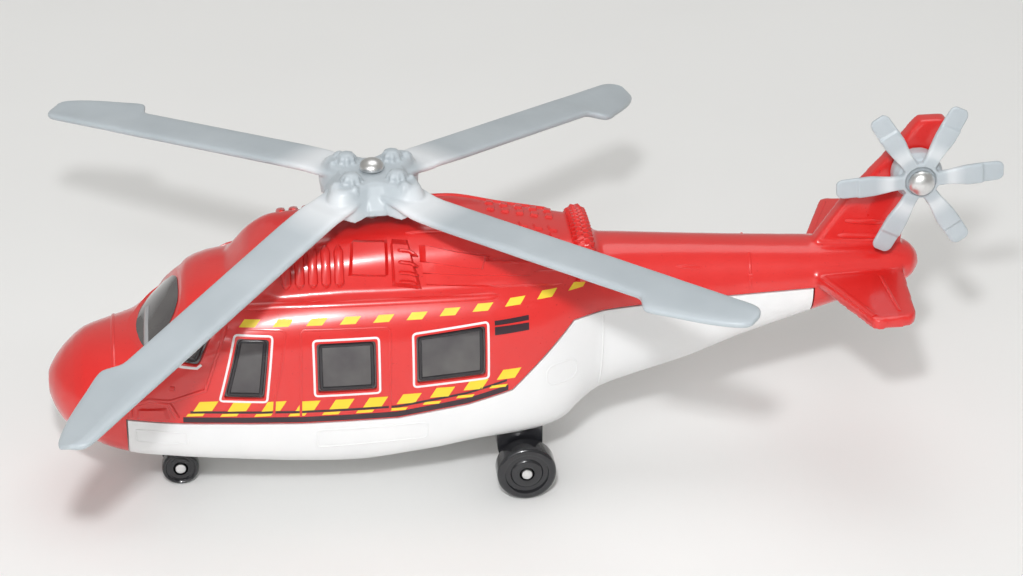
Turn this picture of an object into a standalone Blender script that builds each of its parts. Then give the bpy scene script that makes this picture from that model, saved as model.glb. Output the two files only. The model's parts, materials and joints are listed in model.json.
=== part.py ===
"""Toy transport helicopter: die-cast body on a plastic base, with free-spinning rotors and wheels.

Built in metres, +Z up. The nose points to -X, the tail to +X and the port side to -Y.
Lengths below are in millimetres from the main rotor's axis and from the ground; U turns
them into metres, and everything is moved so that the origin is under the middle of the box.
"""
import math

import bmesh
import bpy
from mathutils import Vector

U = 0.001

# ---------------------------------------------------------------- driving sizes (mm)
CLEAR = 0.3               # running gap between touching pieces

# fuselage
NOSE_X = -44.8            # nose tip
CABIN_REAR_X = 21.0       # where the cabin starts to draw in
BOOM_X = 31.0             # front end of the tail boom
BASE_REAR_X = 60.3        # rear end of the plastic base
TAIL_X = 75.5             # rounded tail end
CABIN_HALF = 13.4         # half width of the cabin
BOOM_HALF = 7.4           # half width of the boom at its front
TAIL_HALF = 5.0           # half width of the boom where the base ends
BELLY_Z = 6.5             # lowest point of the belly
ROOF_Z = 34.4             # cabin roof under the engine cowling
COWL_TOP_Z = 39.7         # top of the engine cowling
COWL_HALF = 9.8           # half width of the cowling at its foot
BOOM_TOP_Z = 33.9         # boom top at its front
TAIL_TOP_Z = 31.8         # boom top where the base ends
WALL = 1.8                # wall of the casting
SILL_Z = 15.2             # joint line between casting and base, amidships
BASE_WALL = 1.6           # wall of the plastic base
BASE_FRONT_X = -34.4      # front end of the plastic base
FLANK_Z = 26.6            # joint line along the boom

# tail
FIN_TOP_Z = 49.8
FIN_REAR_X = 78.4
FIN_THICK = 2.4
STAB_TIP_Y = 17.8
STAB_Z = 28.0
STAB_THICK = 1.6

# windows
GLASS_WALL = 1.2
GLASS_SINK = 0.45         # panes sit this far below the skin
WINDOW_ROUND = 0.5

# main rotor
ROTOR_R = 60.0
ROTOR_PHASE = 2.0         # degrees from the diagonals
HUB_R = 6.4
HUB_BOTTOM_Z = 42.7
HUB_TOP_Z = 45.2
BLADE_THICK = 1.2
BLADE_LEAD = -2.5         # leading edge, across the blade
BLADE_TRAIL = 3.9         # trailing edge, across the blade
PADDLE_TRAIL = 6.2        # trailing edge of the wide outer end
PADDLE_START = 45.0
TIP_Z = (34.5, 37.3, 32.6, 43.1)   # set of each soft blade: 45, 135, 225 and 315 degrees
RIVET_SHANK_R = 0.9
RIVET_HEAD_R = 1.5
RIVET_HEAD_H = 1.3

# tail rotor
TAIL_ROTOR_X = 74.0
TAIL_ROTOR_Z = 42.6
TAIL_ROTOR_R = 11.6
TAIL_ROTOR_COLLAR_R = 3.6
TAIL_BLADE_THICK = 1.0
TAIL_BLADE_ROOT = 1.9
TAIL_BLADE_TIP = 2.6
TAIL_PHASE = 4.4

# undercarriage
NOSE_AXLE_X = -27.6
NOSE_WHEEL_R = 2.55
NOSE_WHEEL_W = 1.9
NOSE_LEG_HALF = 1.0
MAIN_AXLE_X = 19.7
MAIN_WHEEL_R = 4.1
MAIN_WHEEL_W = 3.1
MAIN_LEG_IN = 5.6
MAIN_LEG_OUT = 9.0
MAIN_LEG_LEN = 6.6
AXLE_R = 0.8
HUB_RECESS = 0.5
POST_R = 1.7
POST_HEAD_R = 2.6
POST_X = (-15.0, 9.0)

# the box's middle along X goes to the origin
SHIFT_X = -0.5 * (NOSE_X + TAIL_ROTOR_X + TAIL_ROTOR_R)


def P(x, y, z):
    """Point from hub coordinates in millimetres to world metres."""
    return Vector(((x + SHIFT_X) * U, y * U, z * U))


# ---------------------------------------------------------------- scene and helpers
for old in list(bpy.data.objects):
    bpy.data.objects.remove(old, do_unlink=True)

PARTS = bpy.data.collections.new("toy_helicopter")
CUTTERS = bpy.data.collections.new("cutters")
bpy.context.scene.collection.children.link(PARTS)
bpy.context.scene.collection.children.link(CUTTERS)


def material(name, colour, roughness, metallic=0.0):
    m = bpy.data.materials.new(name)
    m.use_nodes = True
    b = m.node_tree.nodes["Principled BSDF"]
    b.inputs["Base Color"].default_value = (*colour, 1.0)
    b.inputs["Roughness"].default_value = roughness
    b.inputs["Metallic"].default_value = metallic
    return m


RED = material("red_enamel", (0.72, 0.03, 0.03), 0.25)
WHITE = material("white_plastic", (0.86, 0.86, 0.87), 0.35)
SMOKE = material("smoke_glazing", (0.05, 0.05, 0.055), 0.08)
GREY = material("grey_plastic", (0.42, 0.47, 0.50), 0.40)
BLACK = material("black_plastic", (0.015, 0.015, 0.018), 0.30)
STEEL = material("bright_steel", (0.75, 0.74, 0.72), 0.25, 1.0)


def add_object(name, mesh, where=None, mat=None, cutter=False):
    ob = bpy.data.objects.new(name, mesh)
    (CUTTERS if cutter else PARTS).objects.link(ob)
    if where is not None:
        ob.location = where
    if mat is not None:
        mesh.materials.clear()
        mesh.materials.append(mat)
    if cutter:
        ob.hide_render = True
        ob.display_type = "WIRE"
    return ob


def smooth(ob, angle=35.0):
    ob.data.shade_smooth()
    ob.data.set_sharp_from_angle(angle=math.radians(angle))


def mesh_from(bm, name):
    bmesh.ops.recalc_face_normals(bm, faces=bm.faces)
    if bm.calc_volume(signed=True) < 0.0:
        bmesh.ops.reverse_faces(bm, faces=bm.faces)
    me = bpy.data.meshes.new(name)
    bm.to_mesh(me)
    bm.free()
    return me


def loft(name, rings, to_world=True):
    """Closed solid through rings that all have the same number of points."""
    bm = bmesh.new()
    rows = []
    for ring in rings:
        rows.append([bm.verts.new(P(*p) if to_world else Vector(p) * U) for p in ring])
    count = len(rows[0])
    for a, b in zip(rows, rows[1:]):
        for i in range(count):
            j = (i + 1) % count
            bm.faces.new((a[i], a[j], b[j], b[i]))
    bm.faces.new(rows[0])
    bm.faces.new(list(reversed(rows[-1])))
    return mesh_from(bm, name)


def outline_solid(name, outline, half, plane="XZ", centre=0.0, to_world=True, bevel=0.0):
    """Flat outline given a thickness of two halves: a 2D curve, extruded, made a mesh."""
    cu = bpy.data.curves.new(name, "CURVE")
    cu.dimensions = "2D"
    cu.fill_mode = "BOTH"
    cu.extrude = half * U
    sp = cu.splines.new("POLY")
    sp.points.add(len(outline) - 1)
    for pt, (a, b) in zip(sp.points, outline):
        pt.co = (a * U, b * U, 0.0, 1.0)
    sp.use_cyclic_u = True
    tmp = bpy.data.objects.new(name, cu)
    CUTTERS.objects.link(tmp)
    bpy.context.view_layer.update()
    me = bpy.data.meshes.new_from_object(tmp.evaluated_get(bpy.context.evaluated_depsgraph_get()))
    bpy.data.objects.remove(tmp, do_unlink=True)
    bpy.data.curves.remove(cu)
    bm = bmesh.new()
    bm.from_mesh(me)
    bpy.data.meshes.remove(me)
    bmesh.ops.remove_doubles(bm, verts=bm.verts, dist=1e-6)
    if bevel > 0.0:
        rim = [e for e in bm.edges if abs(e.verts[0].co.z - e.verts[1].co.z) < 1e-9
               and e.calc_face_angle(0.0) > 0.5]
        bmesh.ops.bevel(bm, geom=rim, offset=bevel * U, segments=2, profile=0.5, affect="EDGES")
    off = Vector((SHIFT_X * U, 0.0, 0.0)) if to_world else Vector((0.0, 0.0, 0.0))
    for v in bm.verts:
        x, y, z = v.co
        if plane == "XZ":
            v.co = Vector((x, z + centre * U, y)) + off
        else:
            v.co = Vector((x, y, z + centre * U)) + off
    return mesh_from(bm, name)


def box_mesh(name, x0, x1, y0, y1, z0, z1, to_world=True, bevel=0.0):
    bm = bmesh.new()
    bmesh.ops.create_cube(bm, size=1.0)
    for v in bm.verts:
        p = (x0 + (v.co.x + 0.5) * (x1 - x0), y0 + (v.co.y + 0.5) * (y1 - y0),
             z0 + (v.co.z + 0.5) * (z1 - z0))
        v.co = P(*p) if to_world else Vector(p) * U
    if bevel > 0.0:
        bmesh.ops.bevel(bm, geom=bm.edges[:], offset=bevel * U, segments=2, profile=0.5,
                        affect="EDGES")
    return mesh_from(bm, name)


def cylinder_mesh(name, radius, z0, z1, segments=24, axis="Z", centre=(0.0, 0.0), to_world=False):
    """Cylinder along Z (centre is x, y) or along Y (centre is x, z)."""
    bm = bmesh.new()
    bmesh.ops.create_cone(bm, cap_ends=True, segments=segments, radius1=radius, radius2=radius,
                          depth=z1 - z0)
    for v in bm.verts:
        a, b, c = v.co.x, v.co.y, v.co.z + 0.5 * (z0 + z1)
        p = (centre[0] + a, centre[1] + b, c) if axis == "Z" else (centre[0] + a, c, centre[1] + b)
        v.co = P(*p) if to_world else Vector(p) * U
    return mesh_from(bm, name)


def sphere_mesh(name, radius, centre, squash=1.0):
    bm = bmesh.new()
    bmesh.ops.create_uvsphere(bm, u_segments=10, v_segments=6, radius=radius)
    for v in bm.verts:
        v.co = Vector((v.co.x + centre[0], v.co.y + centre[1], v.co.z * squash + centre[2])) * U
    return mesh_from(bm, name)


def turned(name, profile, where, mat, axis="Z", segments=32):
    """Solid of revolution: profile points (radius, height) run down the outer side."""
    me = bpy.data.meshes.new(name)
    closed = profile[0] == profile[-1]
    verts = [(r * U, 0.0, h * U) for r, h in (profile[:-1] if closed else profile)]
    edges = [(i, i + 1) for i in range(len(verts) - 1)]
    if closed:
        edges.append((len(verts) - 1, 0))
    me.from_pydata(verts, edges, [])
    ob = add_object(name, me, where, mat)
    if axis == "Y":
        ob.rotation_euler = (math.radians(90.0), 0.0, 0.0)
    elif axis == "-Y":
        ob.rotation_euler = (math.radians(-90.0), 0.0, 0.0)
    m = ob.modifiers.new("turn", "SCREW")
    m.steps = segments
    m.render_steps = segments
    m.use_merge_vertices = True
    m.merge_threshold = 0.00001
    m.use_smooth_shade = False
    return ob


def boolean(ob, other, operation, name=None):
    m = ob.modifiers.new(name or other.name, "BOOLEAN")
    m.object = other
    m.operation = operation
    m.solver = "EXACT"
    return m


def lerp(a, b, t):
    return a + (b - a) * t


def hermite(table, x):
    """Smooth value of each column of a table at x (its first column)."""
    n = len(table)
    i = 0
    while i < n - 2 and x > table[i + 1][0]:
        i += 1
    x0, x1 = table[i][0], table[i + 1][0]
    t = (x - x0) / (x1 - x0)
    out = []
    for k in range(1, len(table[0])):
        y0, y1 = table[i][k], table[i + 1][k]
        s = (y1 - y0) / (x1 - x0)
        sa = s if i == 0 else (y0 - table[i - 1][k]) / (x0 - table[i - 1][0])
        sb = s if i == n - 2 else (table[i + 2][k] - y1) / (table[i + 2][0] - x1)
        m0 = 0.0 if sa * s <= 0.0 else 2.0 * sa * s / (sa + s)
        m1 = 0.0 if sb * s <= 0.0 else 2.0 * sb * s / (sb + s)
        h = x1 - x0
        out.append(y0 * (2 * t ** 3 - 3 * t ** 2 + 1) + m0 * h * (t ** 3 - 2 * t ** 2 + t)
                   + y1 * (3 * t ** 2 - 2 * t ** 3) + m1 * h * (t ** 3 - t ** 2))
    return out


# ---------------------------------------------------------------- fuselage skin
# station, half width, bottom, top, squareness below and above the widest line
HULL = [
    (NOSE_X, 1.6, 14.6, 17.6, 2.0, 2.0),
    (NOSE_X + 0.8, 4.0, 12.7, 18.9, 2.1, 2.0),
    (NOSE_X + 2.5, 6.8, 10.7, 20.8, 2.2, 2.0),
    (NOSE_X + 5.0, CABIN_HALF - 4.2, 9.4, 22.5, 2.4, 2.1),
    (NOSE_X + 8.5, CABIN_HALF - 2.6, 8.4, 23.3, 2.8, 2.2),
    (NOSE_X + 12.0, CABIN_HALF - 1.7, 8.1, 24.2, 3.4, 2.3),
    (NOSE_X + 15.0, CABIN_HALF - 1.1, 8.1, 27.2, 4.0, 2.3),
    (NOSE_X + 18.5, CABIN_HALF - 0.6, 8.0, 30.4, 4.6, 2.4),
    (NOSE_X + 22.5, CABIN_HALF - 0.4, 7.7, ROOF_Z - 2.4, 5.0, 2.6),
    (NOSE_X + 27.0, CABIN_HALF - 0.2, 7.2, ROOF_Z - 0.9, 5.0, 2.7),
    (-11.0, CABIN_HALF - 0.1, BELLY_Z, ROOF_Z - 0.3, 5.0, 2.8),
    (-4.0, CABIN_HALF, BELLY_Z - 0.3, ROOF_Z, 5.0, 2.8),
    (6.0, CABIN_HALF - 0.2, BELLY_Z + 0.6, ROOF_Z, 5.0, 2.8),
    (CABIN_REAR_X - 6.0, CABIN_HALF - 0.6, BELLY_Z + 1.7, ROOF_Z - 0.2, 4.6, 2.8),
    (CABIN_REAR_X, CABIN_HALF - 1.6, BELLY_Z + 1.8, ROOF_Z - 0.4, 4.2, 2.7),
    (CABIN_REAR_X + 4.0, 0.5 * (CABIN_HALF + BOOM_HALF), BELLY_Z + 2.1, BOOM_TOP_Z + 0.3, 3.6, 2.6),
    (BOOM_X - 3.0, BOOM_HALF + 1.4, BELLY_Z + 4.0, BOOM_TOP_Z + 0.1, 3.0, 2.5),
    (BOOM_X, BOOM_HALF, BELLY_Z + 5.3, BOOM_TOP_Z, 2.6, 2.4),
    (BOOM_X + 12.0, lerp(BOOM_HALF, TAIL_HALF, 0.55), 15.4, lerp(BOOM_TOP_Z, TAIL_TOP_Z, 0.4), 2.5, 2.4),
    (BASE_REAR_X - 9.0, lerp(BOOM_HALF, TAIL_HALF, 0.8), 18.6, lerp(BOOM_TOP_Z, TAIL_TOP_Z, 0.7), 2.4, 2.4),
    (BASE_REAR_X + 0.6, TAIL_HALF, 21.9, TAIL_TOP_Z, 2.4, 2.3),
    (TAIL_X - 10.0, TAIL_HALF - 0.4, 23.2, TAIL_TOP_Z - 0.2, 2.3, 2.2),
    (TAIL_X - 4.0, TAIL_HALF - 1.0, 24.5, TAIL_TOP_Z - 0.6, 2.2, 2.2),
    (TAIL_X - 1.2, TAIL_HALF - 2.0, 25.7, TAIL_TOP_Z - 1.4, 2.1, 2.1),
    (TAIL_X, TAIL_HALF - 3.6, 27.0, TAIL_TOP_Z - 2.6, 2.0, 2.0),
]


def hull_ring(x, inset, count):
    w, zb, zt, low, high = hermite(HULL, x)
    w, zb, zt = w - inset, zb + inset, zt - inset
    zc, h = 0.5 * (zb + zt), 0.5 * (zt - zb)
    ring = []
    for k in range(count):
        a = 2.0 * math.pi * (k + 0.5) / count
        c, s = math.cos(a), math.sin(a)
        n = high if s > 0.0 else low
        ring.append((x, w * math.copysign(abs(c) ** (2.0 / n), c),
                     zc + h * math.copysign(abs(s) ** (2.0 / n), s)))
    return ring


def hull_stations(x0, x1, fine):
    """The table's own stations between two ends, with some put between."""
    xs = [x0]
    inner = [row[0] for row in HULL if x0 + 0.2 < row[0] < x1 - 0.2]
    for x in inner + [x1]:
        gap = x - xs[-1]
        parts = max(1, int(round(gap / fine)))
        start = xs[-1]
        for i in range(1, parts + 1):
            xs.append(start + gap * i / parts)
    return xs


def hull_mesh(name, inset, x0, x1, count=28, fine=4.0):
    return loft(name, [hull_ring(x, inset, count) for x in hull_stations(x0, x1, fine)])


def belly_z(x):
    return hermite(HULL, x)[1]


# engine cowling: station, half width at the foot, half width at the top, foot, top
COWL_FOOT_Z = 29.4
COWL = [
    (-20.8, COWL_HALF - 3.0, 3.6, COWL_FOOT_Z, COWL_TOP_Z - 7.6),
    (-19.0, COWL_HALF - 1.4, 4.6, COWL_FOOT_Z, COWL_TOP_Z - 5.6),
    (-16.5, COWL_HALF - 0.6, 5.2, COWL_FOOT_Z, COWL_TOP_Z - 3.0),
    (-13.5, COWL_HALF - 0.2, 5.6, COWL_FOOT_Z, COWL_TOP_Z - 1.6),
    (-6.0, COWL_HALF, 5.8, COWL_FOOT_Z, COWL_TOP_Z - 1.1),
    (3.0, COWL_HALF, 5.8, COWL_FOOT_Z, COWL_TOP_Z - 0.4),
    (10.0, COWL_HALF - 0.1, 5.7, COWL_FOOT_Z, COWL_TOP_Z - 0.3),
    (18.0, COWL_HALF - 0.5, 5.4, COWL_FOOT_Z, COWL_TOP_Z - 1.9),
    (25.5, COWL_HALF - 1.4, 5.0, COWL_FOOT_Z, COWL_TOP_Z - 3.4),
    (27.6, COWL_HALF - 2.4, 4.6, COWL_FOOT_Z, COWL_TOP_Z - 3.8),
    (29.6, COWL_HALF - 3.8, 3.8, COWL_FOOT_Z, COWL_TOP_Z - 5.0),
    (30.8, COWL_HALF - 5.2, 3.0, COWL_FOOT_Z, COWL_TOP_Z - 6.2),
]


def cowl_ring(x, inset):
    wb, wt, zb, zt = hermite(COWL, x)
    wb, wt, zb, zt = wb - inset, wt - inset, zb - inset, zt - inset
    half = [(wb, zb), (lerp(wb, wt, 0.3) + 0.3, lerp(zb, zt, 0.35)),
            (lerp(wb, wt, 0.62) + 0.4, lerp(zb, zt, 0.68)),
            (wt + 0.35, lerp(zb, zt, 0.87)), (wt * 0.86, lerp(zb, zt, 0.97)),
            (wt * 0.5, zt + 0.05)]
    return [(x, -y, z) for y, z in half] + [(x, y, z) for y, z in reversed(half)]


def cowl_mesh(name, inset, x0, x1):
    xs = [x0]
    for row in COWL:
        if x0 + 0.3 < row[0] < x1 - 0.3:
            xs.append(row[0])
    xs.append(x1)
    return loft(name, [cowl_ring(x, inset) for x in xs])


# joint line between casting and base, seen from the side
def joint_outline(gap):
    """Outline of what belongs to the base; a gap draws it in."""
    f, r = BASE_FRONT_X + gap, BASE_REAR_X - gap
    return [(f, -5.0), (f, SILL_Z + 1.0 - gap), (-26.0, SILL_Z + 0.7 - gap),
            (-11.0, SILL_Z - gap), (2.0, SILL_Z - gap), (11.5, SILL_Z + 1.3 - gap),
            (17.6 + 0.4 * gap, SILL_Z + 2.9 - gap), (26.2 + 0.6 * gap, FLANK_Z - gap),
            (r, FLANK_Z + 0.4 - gap), (r, -5.0)]


# windows in the side: outlines seen from the side, clockwise from the upper front corner
def window_outlines(draw):
    """Side windows and windscreen openings, drawn in by the given amount."""
    d = draw
    first = [(-19.1 + d, 28.0 - d), (-14.9 - d, 27.8 - d), (-15.9 - d, 19.2 + d),
             (-21.3 + 1.4 * d, 19.6 + d)]
    second = [(-8.7 + d, 27.0 - d), (-0.8 - d, 27.0 - d), (-0.8 - d, 19.7 + d), (-8.7 + d, 19.7 + d)]
    third = [(4.6 + d, 27.2 - d), (13.9 - d, 28.0 - d), (13.9 - d, 20.5 + d), (4.6 + d, 20.1 + d)]
    quarter = [(-26.7 + d, 28.6 - d), (-22.6 - d, 29.5 - d), (-22.4 - d, 28.4), (-24.4 - d, 24.4 + d),
               (-27.8 + d, 24.7 + d), (-27.6 + d, 26.0)]
    return [first, second, third, quarter]


def screen_outline(draw):
    """Windscreen: everything of the skin in front of this line and above it."""
    d = draw
    return [(-40.0, 24.4 + d), (-33.0 - d, 24.3 + d), (-29.6 - d, 24.0 + d), (-28.3 - d, 27.4), (-26.4 - d, 31.4),
            (-27.6 - d, 40.0), (-40.0, 40.0)]


def rounded(outline, r, steps=3):
    """The outline with its corners cut round."""
    out = []
    n = len(outline)
    for i in range(n):
        p, a, b = (Vector(outline[k % n]) for k in (i, i - 1, i + 1))
        u, v = (a - p), (b - p)
        cut = min(r, 0.45 * u.length, 0.45 * v.length)
        s, e = p + u.normalized() * cut, p + v.normalized() * cut
        for k in range(steps + 1):
            t = k / steps
            q = s * (1 - t) ** 2 + p * 2 * t * (1 - t) + e * t ** 2
            out.append((q.x, q.y))
    return out


# ---------------------------------------------------------------- casting
CAVITY_FRONT_X = BASE_FRONT_X + BASE_WALL
CAVITY_REAR_X = BASE_REAR_X - 2.0

casting = add_object("body_casting", hull_mesh("body_casting", 0.0, NOSE_X, TAIL_X), mat=RED)
cowling = add_object("cut_cowling", cowl_mesh("cut_cowling", 0.0, COWL[0][0], COWL[-1][0]), cutter=True)
boolean(casting, cowling, "UNION")

FIN_ROOT_X = TAIL_X - 15.0
fin_outline = [(FIN_ROOT_X, TAIL_TOP_Z - 3.0), (FIN_ROOT_X + 0.2, TAIL_TOP_Z + 0.2),
               (FIN_ROOT_X + 4.2, 38.0), (FIN_REAR_X - 8.2, 44.4), (FIN_REAR_X - 4.6, FIN_TOP_Z - 0.5),
               (FIN_REAR_X - 4.0, FIN_TOP_Z), (FIN_REAR_X - 0.6, FIN_TOP_Z), (FIN_REAR_X, FIN_TOP_Z - 0.6),
               (FIN_REAR_X - 4.4, 38.5), (TAIL_X - 2.4, 34.5), (TAIL_X - 2.6, TAIL_TOP_Z - 3.0)]
fin = add_object("cut_fin", outline_solid("cut_fin", fin_outline, 0.5 * FIN_THICK, bevel=0.5), cutter=True)
boolean(casting, fin, "UNION")

stab_right = [(TAIL_X - 15.6, TAIL_HALF - 1.2), (TAIL_X - 10.0, STAB_TIP_Y - 0.4),
              (TAIL_X - 9.2, STAB_TIP_Y), (TAIL_X - 4.6, STAB_TIP_Y - 0.6), (TAIL_X - 3.8, STAB_TIP_Y - 1.6),
              (TAIL_X - 2.6, TAIL_HALF - 2.4)]
stab_outline = stab_right + [(x, -y) for x, y in reversed(stab_right)]
stab_mesh = outline_solid("cut_stab", stab_outline, 0.5 * STAB_THICK, plane="XY", centre=STAB_Z, bevel=0.4)
stab = add_object("cut_stab", stab_mesh, cutter=True)
boolean(casting, stab, "UNION")

hollow = add_object("cut_hollow", hull_mesh("cut_hollow", WALL, CAVITY_FRONT_X, CAVITY_REAR_X, 24, 5.0),
                    cutter=True)
boolean(casting, hollow, "DIFFERENCE")
cowl_hollow = add_object("cut_cowl_hollow", cowl_mesh("cut_cowl_hollow", WALL, -17.0, 26.0), cutter=True)
boolean(casting, cowl_hollow, "DIFFERENCE")

BOSS_R = 3.0
BOSS_BOTTOM_Z = ROOF_Z
BOSS_TOP_Z = HUB_BOTTOM_Z - CLEAR
POST_HEAD_H = 0.8

region = add_object("cut_base_region", outline_solid("cut_base_region", joint_outline(0.0), 30.0), cutter=True)
boolean(casting, region, "DIFFERENCE")

for i, shape in enumerate(window_outlines(0.0)):
    w = add_object(f"cut_window_{i}", outline_solid(f"cut_window_{i}", rounded(shape, WINDOW_ROUND), 30.0),
                   cutter=True)
    boolean(casting, w, "DIFFERENCE")
screen = add_object("cut_screen", outline_solid("cut_screen", screen_outline(0.0), 30.0), cutter=True)
boolean(casting, screen, "DIFFERENCE")

boss = add_object("cut_boss", cylinder_mesh("cut_boss", BOSS_R, BOSS_BOTTOM_Z, BOSS_TOP_Z, 20, to_world=True),
                  cutter=True)
boolean(casting, boss, "UNION")
for i, px in enumerate(POST_X):
    under = min(belly_z(px - POST_HEAD_R), belly_z(px), belly_z(px + POST_HEAD_R)) - CLEAR
    shank = cylinder_mesh(f"cut_post_{i}", POST_R, under - 0.5 * POST_HEAD_H, hermite(COWL, px)[3] - 0.6 * WALL,
                          16, centre=(px, 0.0), to_world=True)
    boolean(casting, add_object(f"cut_post_{i}", shank, cutter=True), "UNION")
    head = cylinder_mesh(f"cut_post_head_{i}", POST_HEAD_R, under - POST_HEAD_H, under, 20,
                         centre=(px, 0.0), to_world=True)
    boolean(casting, add_object(f"cut_post_head_{i}", head, cutter=True), "UNION")

rotor_hole = add_object("cut_rotor_hole", cylinder_mesh("cut_rotor_hole", RIVET_SHANK_R + CLEAR,
                        BOSS_BOTTOM_Z - 2.0, BOSS_TOP_Z + 2.0, 16, to_world=True), cutter=True)
boolean(casting, rotor_hole, "DIFFERENCE")
tail_hole = add_object("cut_tail_hole", cylinder_mesh("cut_tail_hole", RIVET_SHANK_R + CLEAR, -6.0, 6.0, 16,
                       axis="Y", centre=(TAIL_ROTOR_X, TAIL_ROTOR_Z), to_world=True), cutter=True)
boolean(casting, tail_hole, "DIFFERENCE")
smooth(casting)

# ---------------------------------------------------------------- plastic base
base = add_object("base_shell", hull_mesh("base_shell", 0.0, NOSE_X, TAIL_X), mat=WHITE)
base_region = add_object("cut_base_keep", outline_solid("cut_base_keep", joint_outline(CLEAR), 30.0), cutter=True)
boolean(base, base_region, "INTERSECT")
base_hollow = add_object("cut_base_hollow", hull_mesh("cut_base_hollow", BASE_WALL, CAVITY_FRONT_X,
                         CAVITY_REAR_X - CLEAR, 24, 5.0), cutter=True)
boolean(base, base_hollow, "DIFFERENCE")
for i, px in enumerate(POST_X):
    hole = add_object(f"cut_post_hole_{i}", cylinder_mesh(f"cut_post_hole_{i}", POST_R + CLEAR, -2.0, 30.0, 16,
                      centre=(px, 0.0), to_world=True), cutter=True)
    boolean(base, hole, "DIFFERENCE")

# ---------------------------------------------------------------- undercarriage pieces
SLOT_CLEAR = 0.36         # the slots' own, a little wider than the pockets above them


def leg_slot(name, x0, x1, y0, y1, z0, z1, c=CLEAR):
    me = box_mesh(name, x0 - c, x1 + c, y0 - c, y1 + c, z0 - c, z1 + c)
    boolean(base, add_object(name, me, cutter=True), "DIFFERENCE")


# main gear: a beam across the floor of the base with a leg at each end
beam_z = belly_z(MAIN_AXLE_X) + BASE_WALL + 1.0
beam_top = beam_z + 2.4
mx0, mx1 = MAIN_AXLE_X - 0.62 * MAIN_LEG_LEN, MAIN_AXLE_X + 0.38 * MAIN_LEG_LEN
gear = add_object("main_gear_beam", box_mesh("main_gear_beam", mx0, mx1, -MAIN_LEG_OUT, MAIN_LEG_OUT,
                  beam_z, beam_top, bevel=0.2), mat=BLACK)
leg_slot("cut_beam_slot", mx0, mx1, -MAIN_LEG_OUT, MAIN_LEG_OUT, beam_z, beam_top + 3.0)
leg_low = MAIN_WHEEL_R - 2.0
for i, side in enumerate((-1, 1)):
    ya, yb = sorted((side * MAIN_LEG_IN, side * MAIN_LEG_OUT))
    leg = outline_solid(f"cut_leg_{i}", rounded([(mx0, beam_top - 0.5), (mx1, beam_top - 0.5),
                        (mx1, MAIN_WHEEL_R + 2.4), (MAIN_AXLE_X + 2.0, leg_low), (MAIN_AXLE_X - 2.0, leg_low),
                        (mx0 + 0.4, MAIN_WHEEL_R + 2.0)], 0.9), 0.5 * (yb - ya), centre=0.5 * (ya + yb))
    boolean(gear, add_object(f"cut_leg_{i}", leg, cutter=True), "UNION")
    leg_slot(f"cut_leg_slot_{i}", mx0, mx1, ya, yb, 0.0, beam_top, SLOT_CLEAR)
axle_hole = add_object("cut_main_axle", cylinder_mesh("cut_main_axle", AXLE_R + CLEAR, -20.0, 20.0, 16, axis="Y",
                       centre=(MAIN_AXLE_X, MAIN_WHEEL_R), to_world=True), cutter=True)
boolean(gear, axle_hole, "DIFFERENCE")

# nose gear: a foot on the floor of the base and one leg down between the two wheels
foot_z = belly_z(NOSE_AXLE_X) + BASE_WALL + 0.5
foot_top = foot_z + 2.0
nx0, nx1 = NOSE_AXLE_X - 2.6, NOSE_AXLE_X + 3.0
nose_leg = add_object("nose_gear_leg", box_mesh("nose_gear_leg", nx0, nx1, -4.0, 4.0, foot_z, foot_top,
                      bevel=0.2), mat=BLACK)
leg_slot("cut_foot_slot", nx0, nx1, -4.0, 4.0, foot_z, foot_top + 3.0)
nose_low = NOSE_WHEEL_R - 1.5
nleg = outline_solid("cut_nose_leg", rounded([(nx0 + 0.2, foot_top - 0.5), (nx1 - 0.2, foot_top - 0.5),
                     (nx1 - 0.2, NOSE_WHEEL_R + 1.6), (NOSE_AXLE_X + 1.5, nose_low),
                     (NOSE_AXLE_X - 1.5, nose_low), (nx0 + 0.2, NOSE_WHEEL_R + 2.0)], 0.7), NOSE_LEG_HALF)
boolean(nose_leg, add_object("cut_nose_leg", nleg, cutter=True), "UNION")
leg_slot("cut_nose_slot", nx0, nx1, -NOSE_LEG_HALF, NOSE_LEG_HALF, 0.0, foot_top, SLOT_CLEAR)
nose_hole = add_object("cut_nose_axle", cylinder_mesh("cut_nose_axle", AXLE_R + CLEAR, -20.0, 20.0, 16, axis="Y",
                       centre=(NOSE_AXLE_X, NOSE_WHEEL_R), to_world=True), cutter=True)
boolean(nose_leg, nose_hole, "DIFFERENCE")

# gear wells of the base also clear the wheels' tops
smooth(base)

main_in = MAIN_LEG_OUT + CLEAR
main_out = main_in + MAIN_WHEEL_W
nose_in = NOSE_LEG_HALF + CLEAR
nose_out = nose_in + NOSE_WHEEL_W


def axle(name, x, z, half):
    r, b = AXLE_R, 0.2
    profile = [(0.0, half), (r - b, half), (r, half - b), (r, -half + b), (r - b, -half), (0.0, -half)]
    ob = turned(name, profile, P(x, 0.0, z), STEEL, axis="Y", segments=16)
    smooth(ob)
    return ob


axle("main_axle", MAIN_AXLE_X, MAIN_WHEEL_R, main_out + 0.1)
axle("nose_axle", NOSE_AXLE_X, NOSE_WHEEL_R, nose_out + 0.1)


def wheel(name, x, radius, y_in, y_out, side):
    """Disc wheel with a rounded tread and a shallow ring pressed into its outer face."""
    w = y_out - y_in
    bore, e = AXLE_R + CLEAR, 0.22 * w
    ring_in, ring_out = lerp(bore, radius, 0.2), lerp(bore, radius, 0.45)
    h = 0.5 * w
    outer = [(bore, h), (ring_in, h), (ring_in + 0.1, h - HUB_RECESS * 0.5), (ring_out - 0.1, h - HUB_RECESS * 0.5),
             (ring_out, h), (radius - e, h), (radius - 0.3 * e, h - 0.3 * e), (radius, h - e),
             (radius, -h + 0.5 * e), (radius - 0.5 * e, -h), (bore, -h), (bore, h)]
    ob = turned(name, outer, P(x, side * 0.5 * (y_in + y_out), radius), BLACK,
                axis="Y" if side < 0 else "-Y", segments=24)
    smooth(ob)
    return ob


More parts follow.
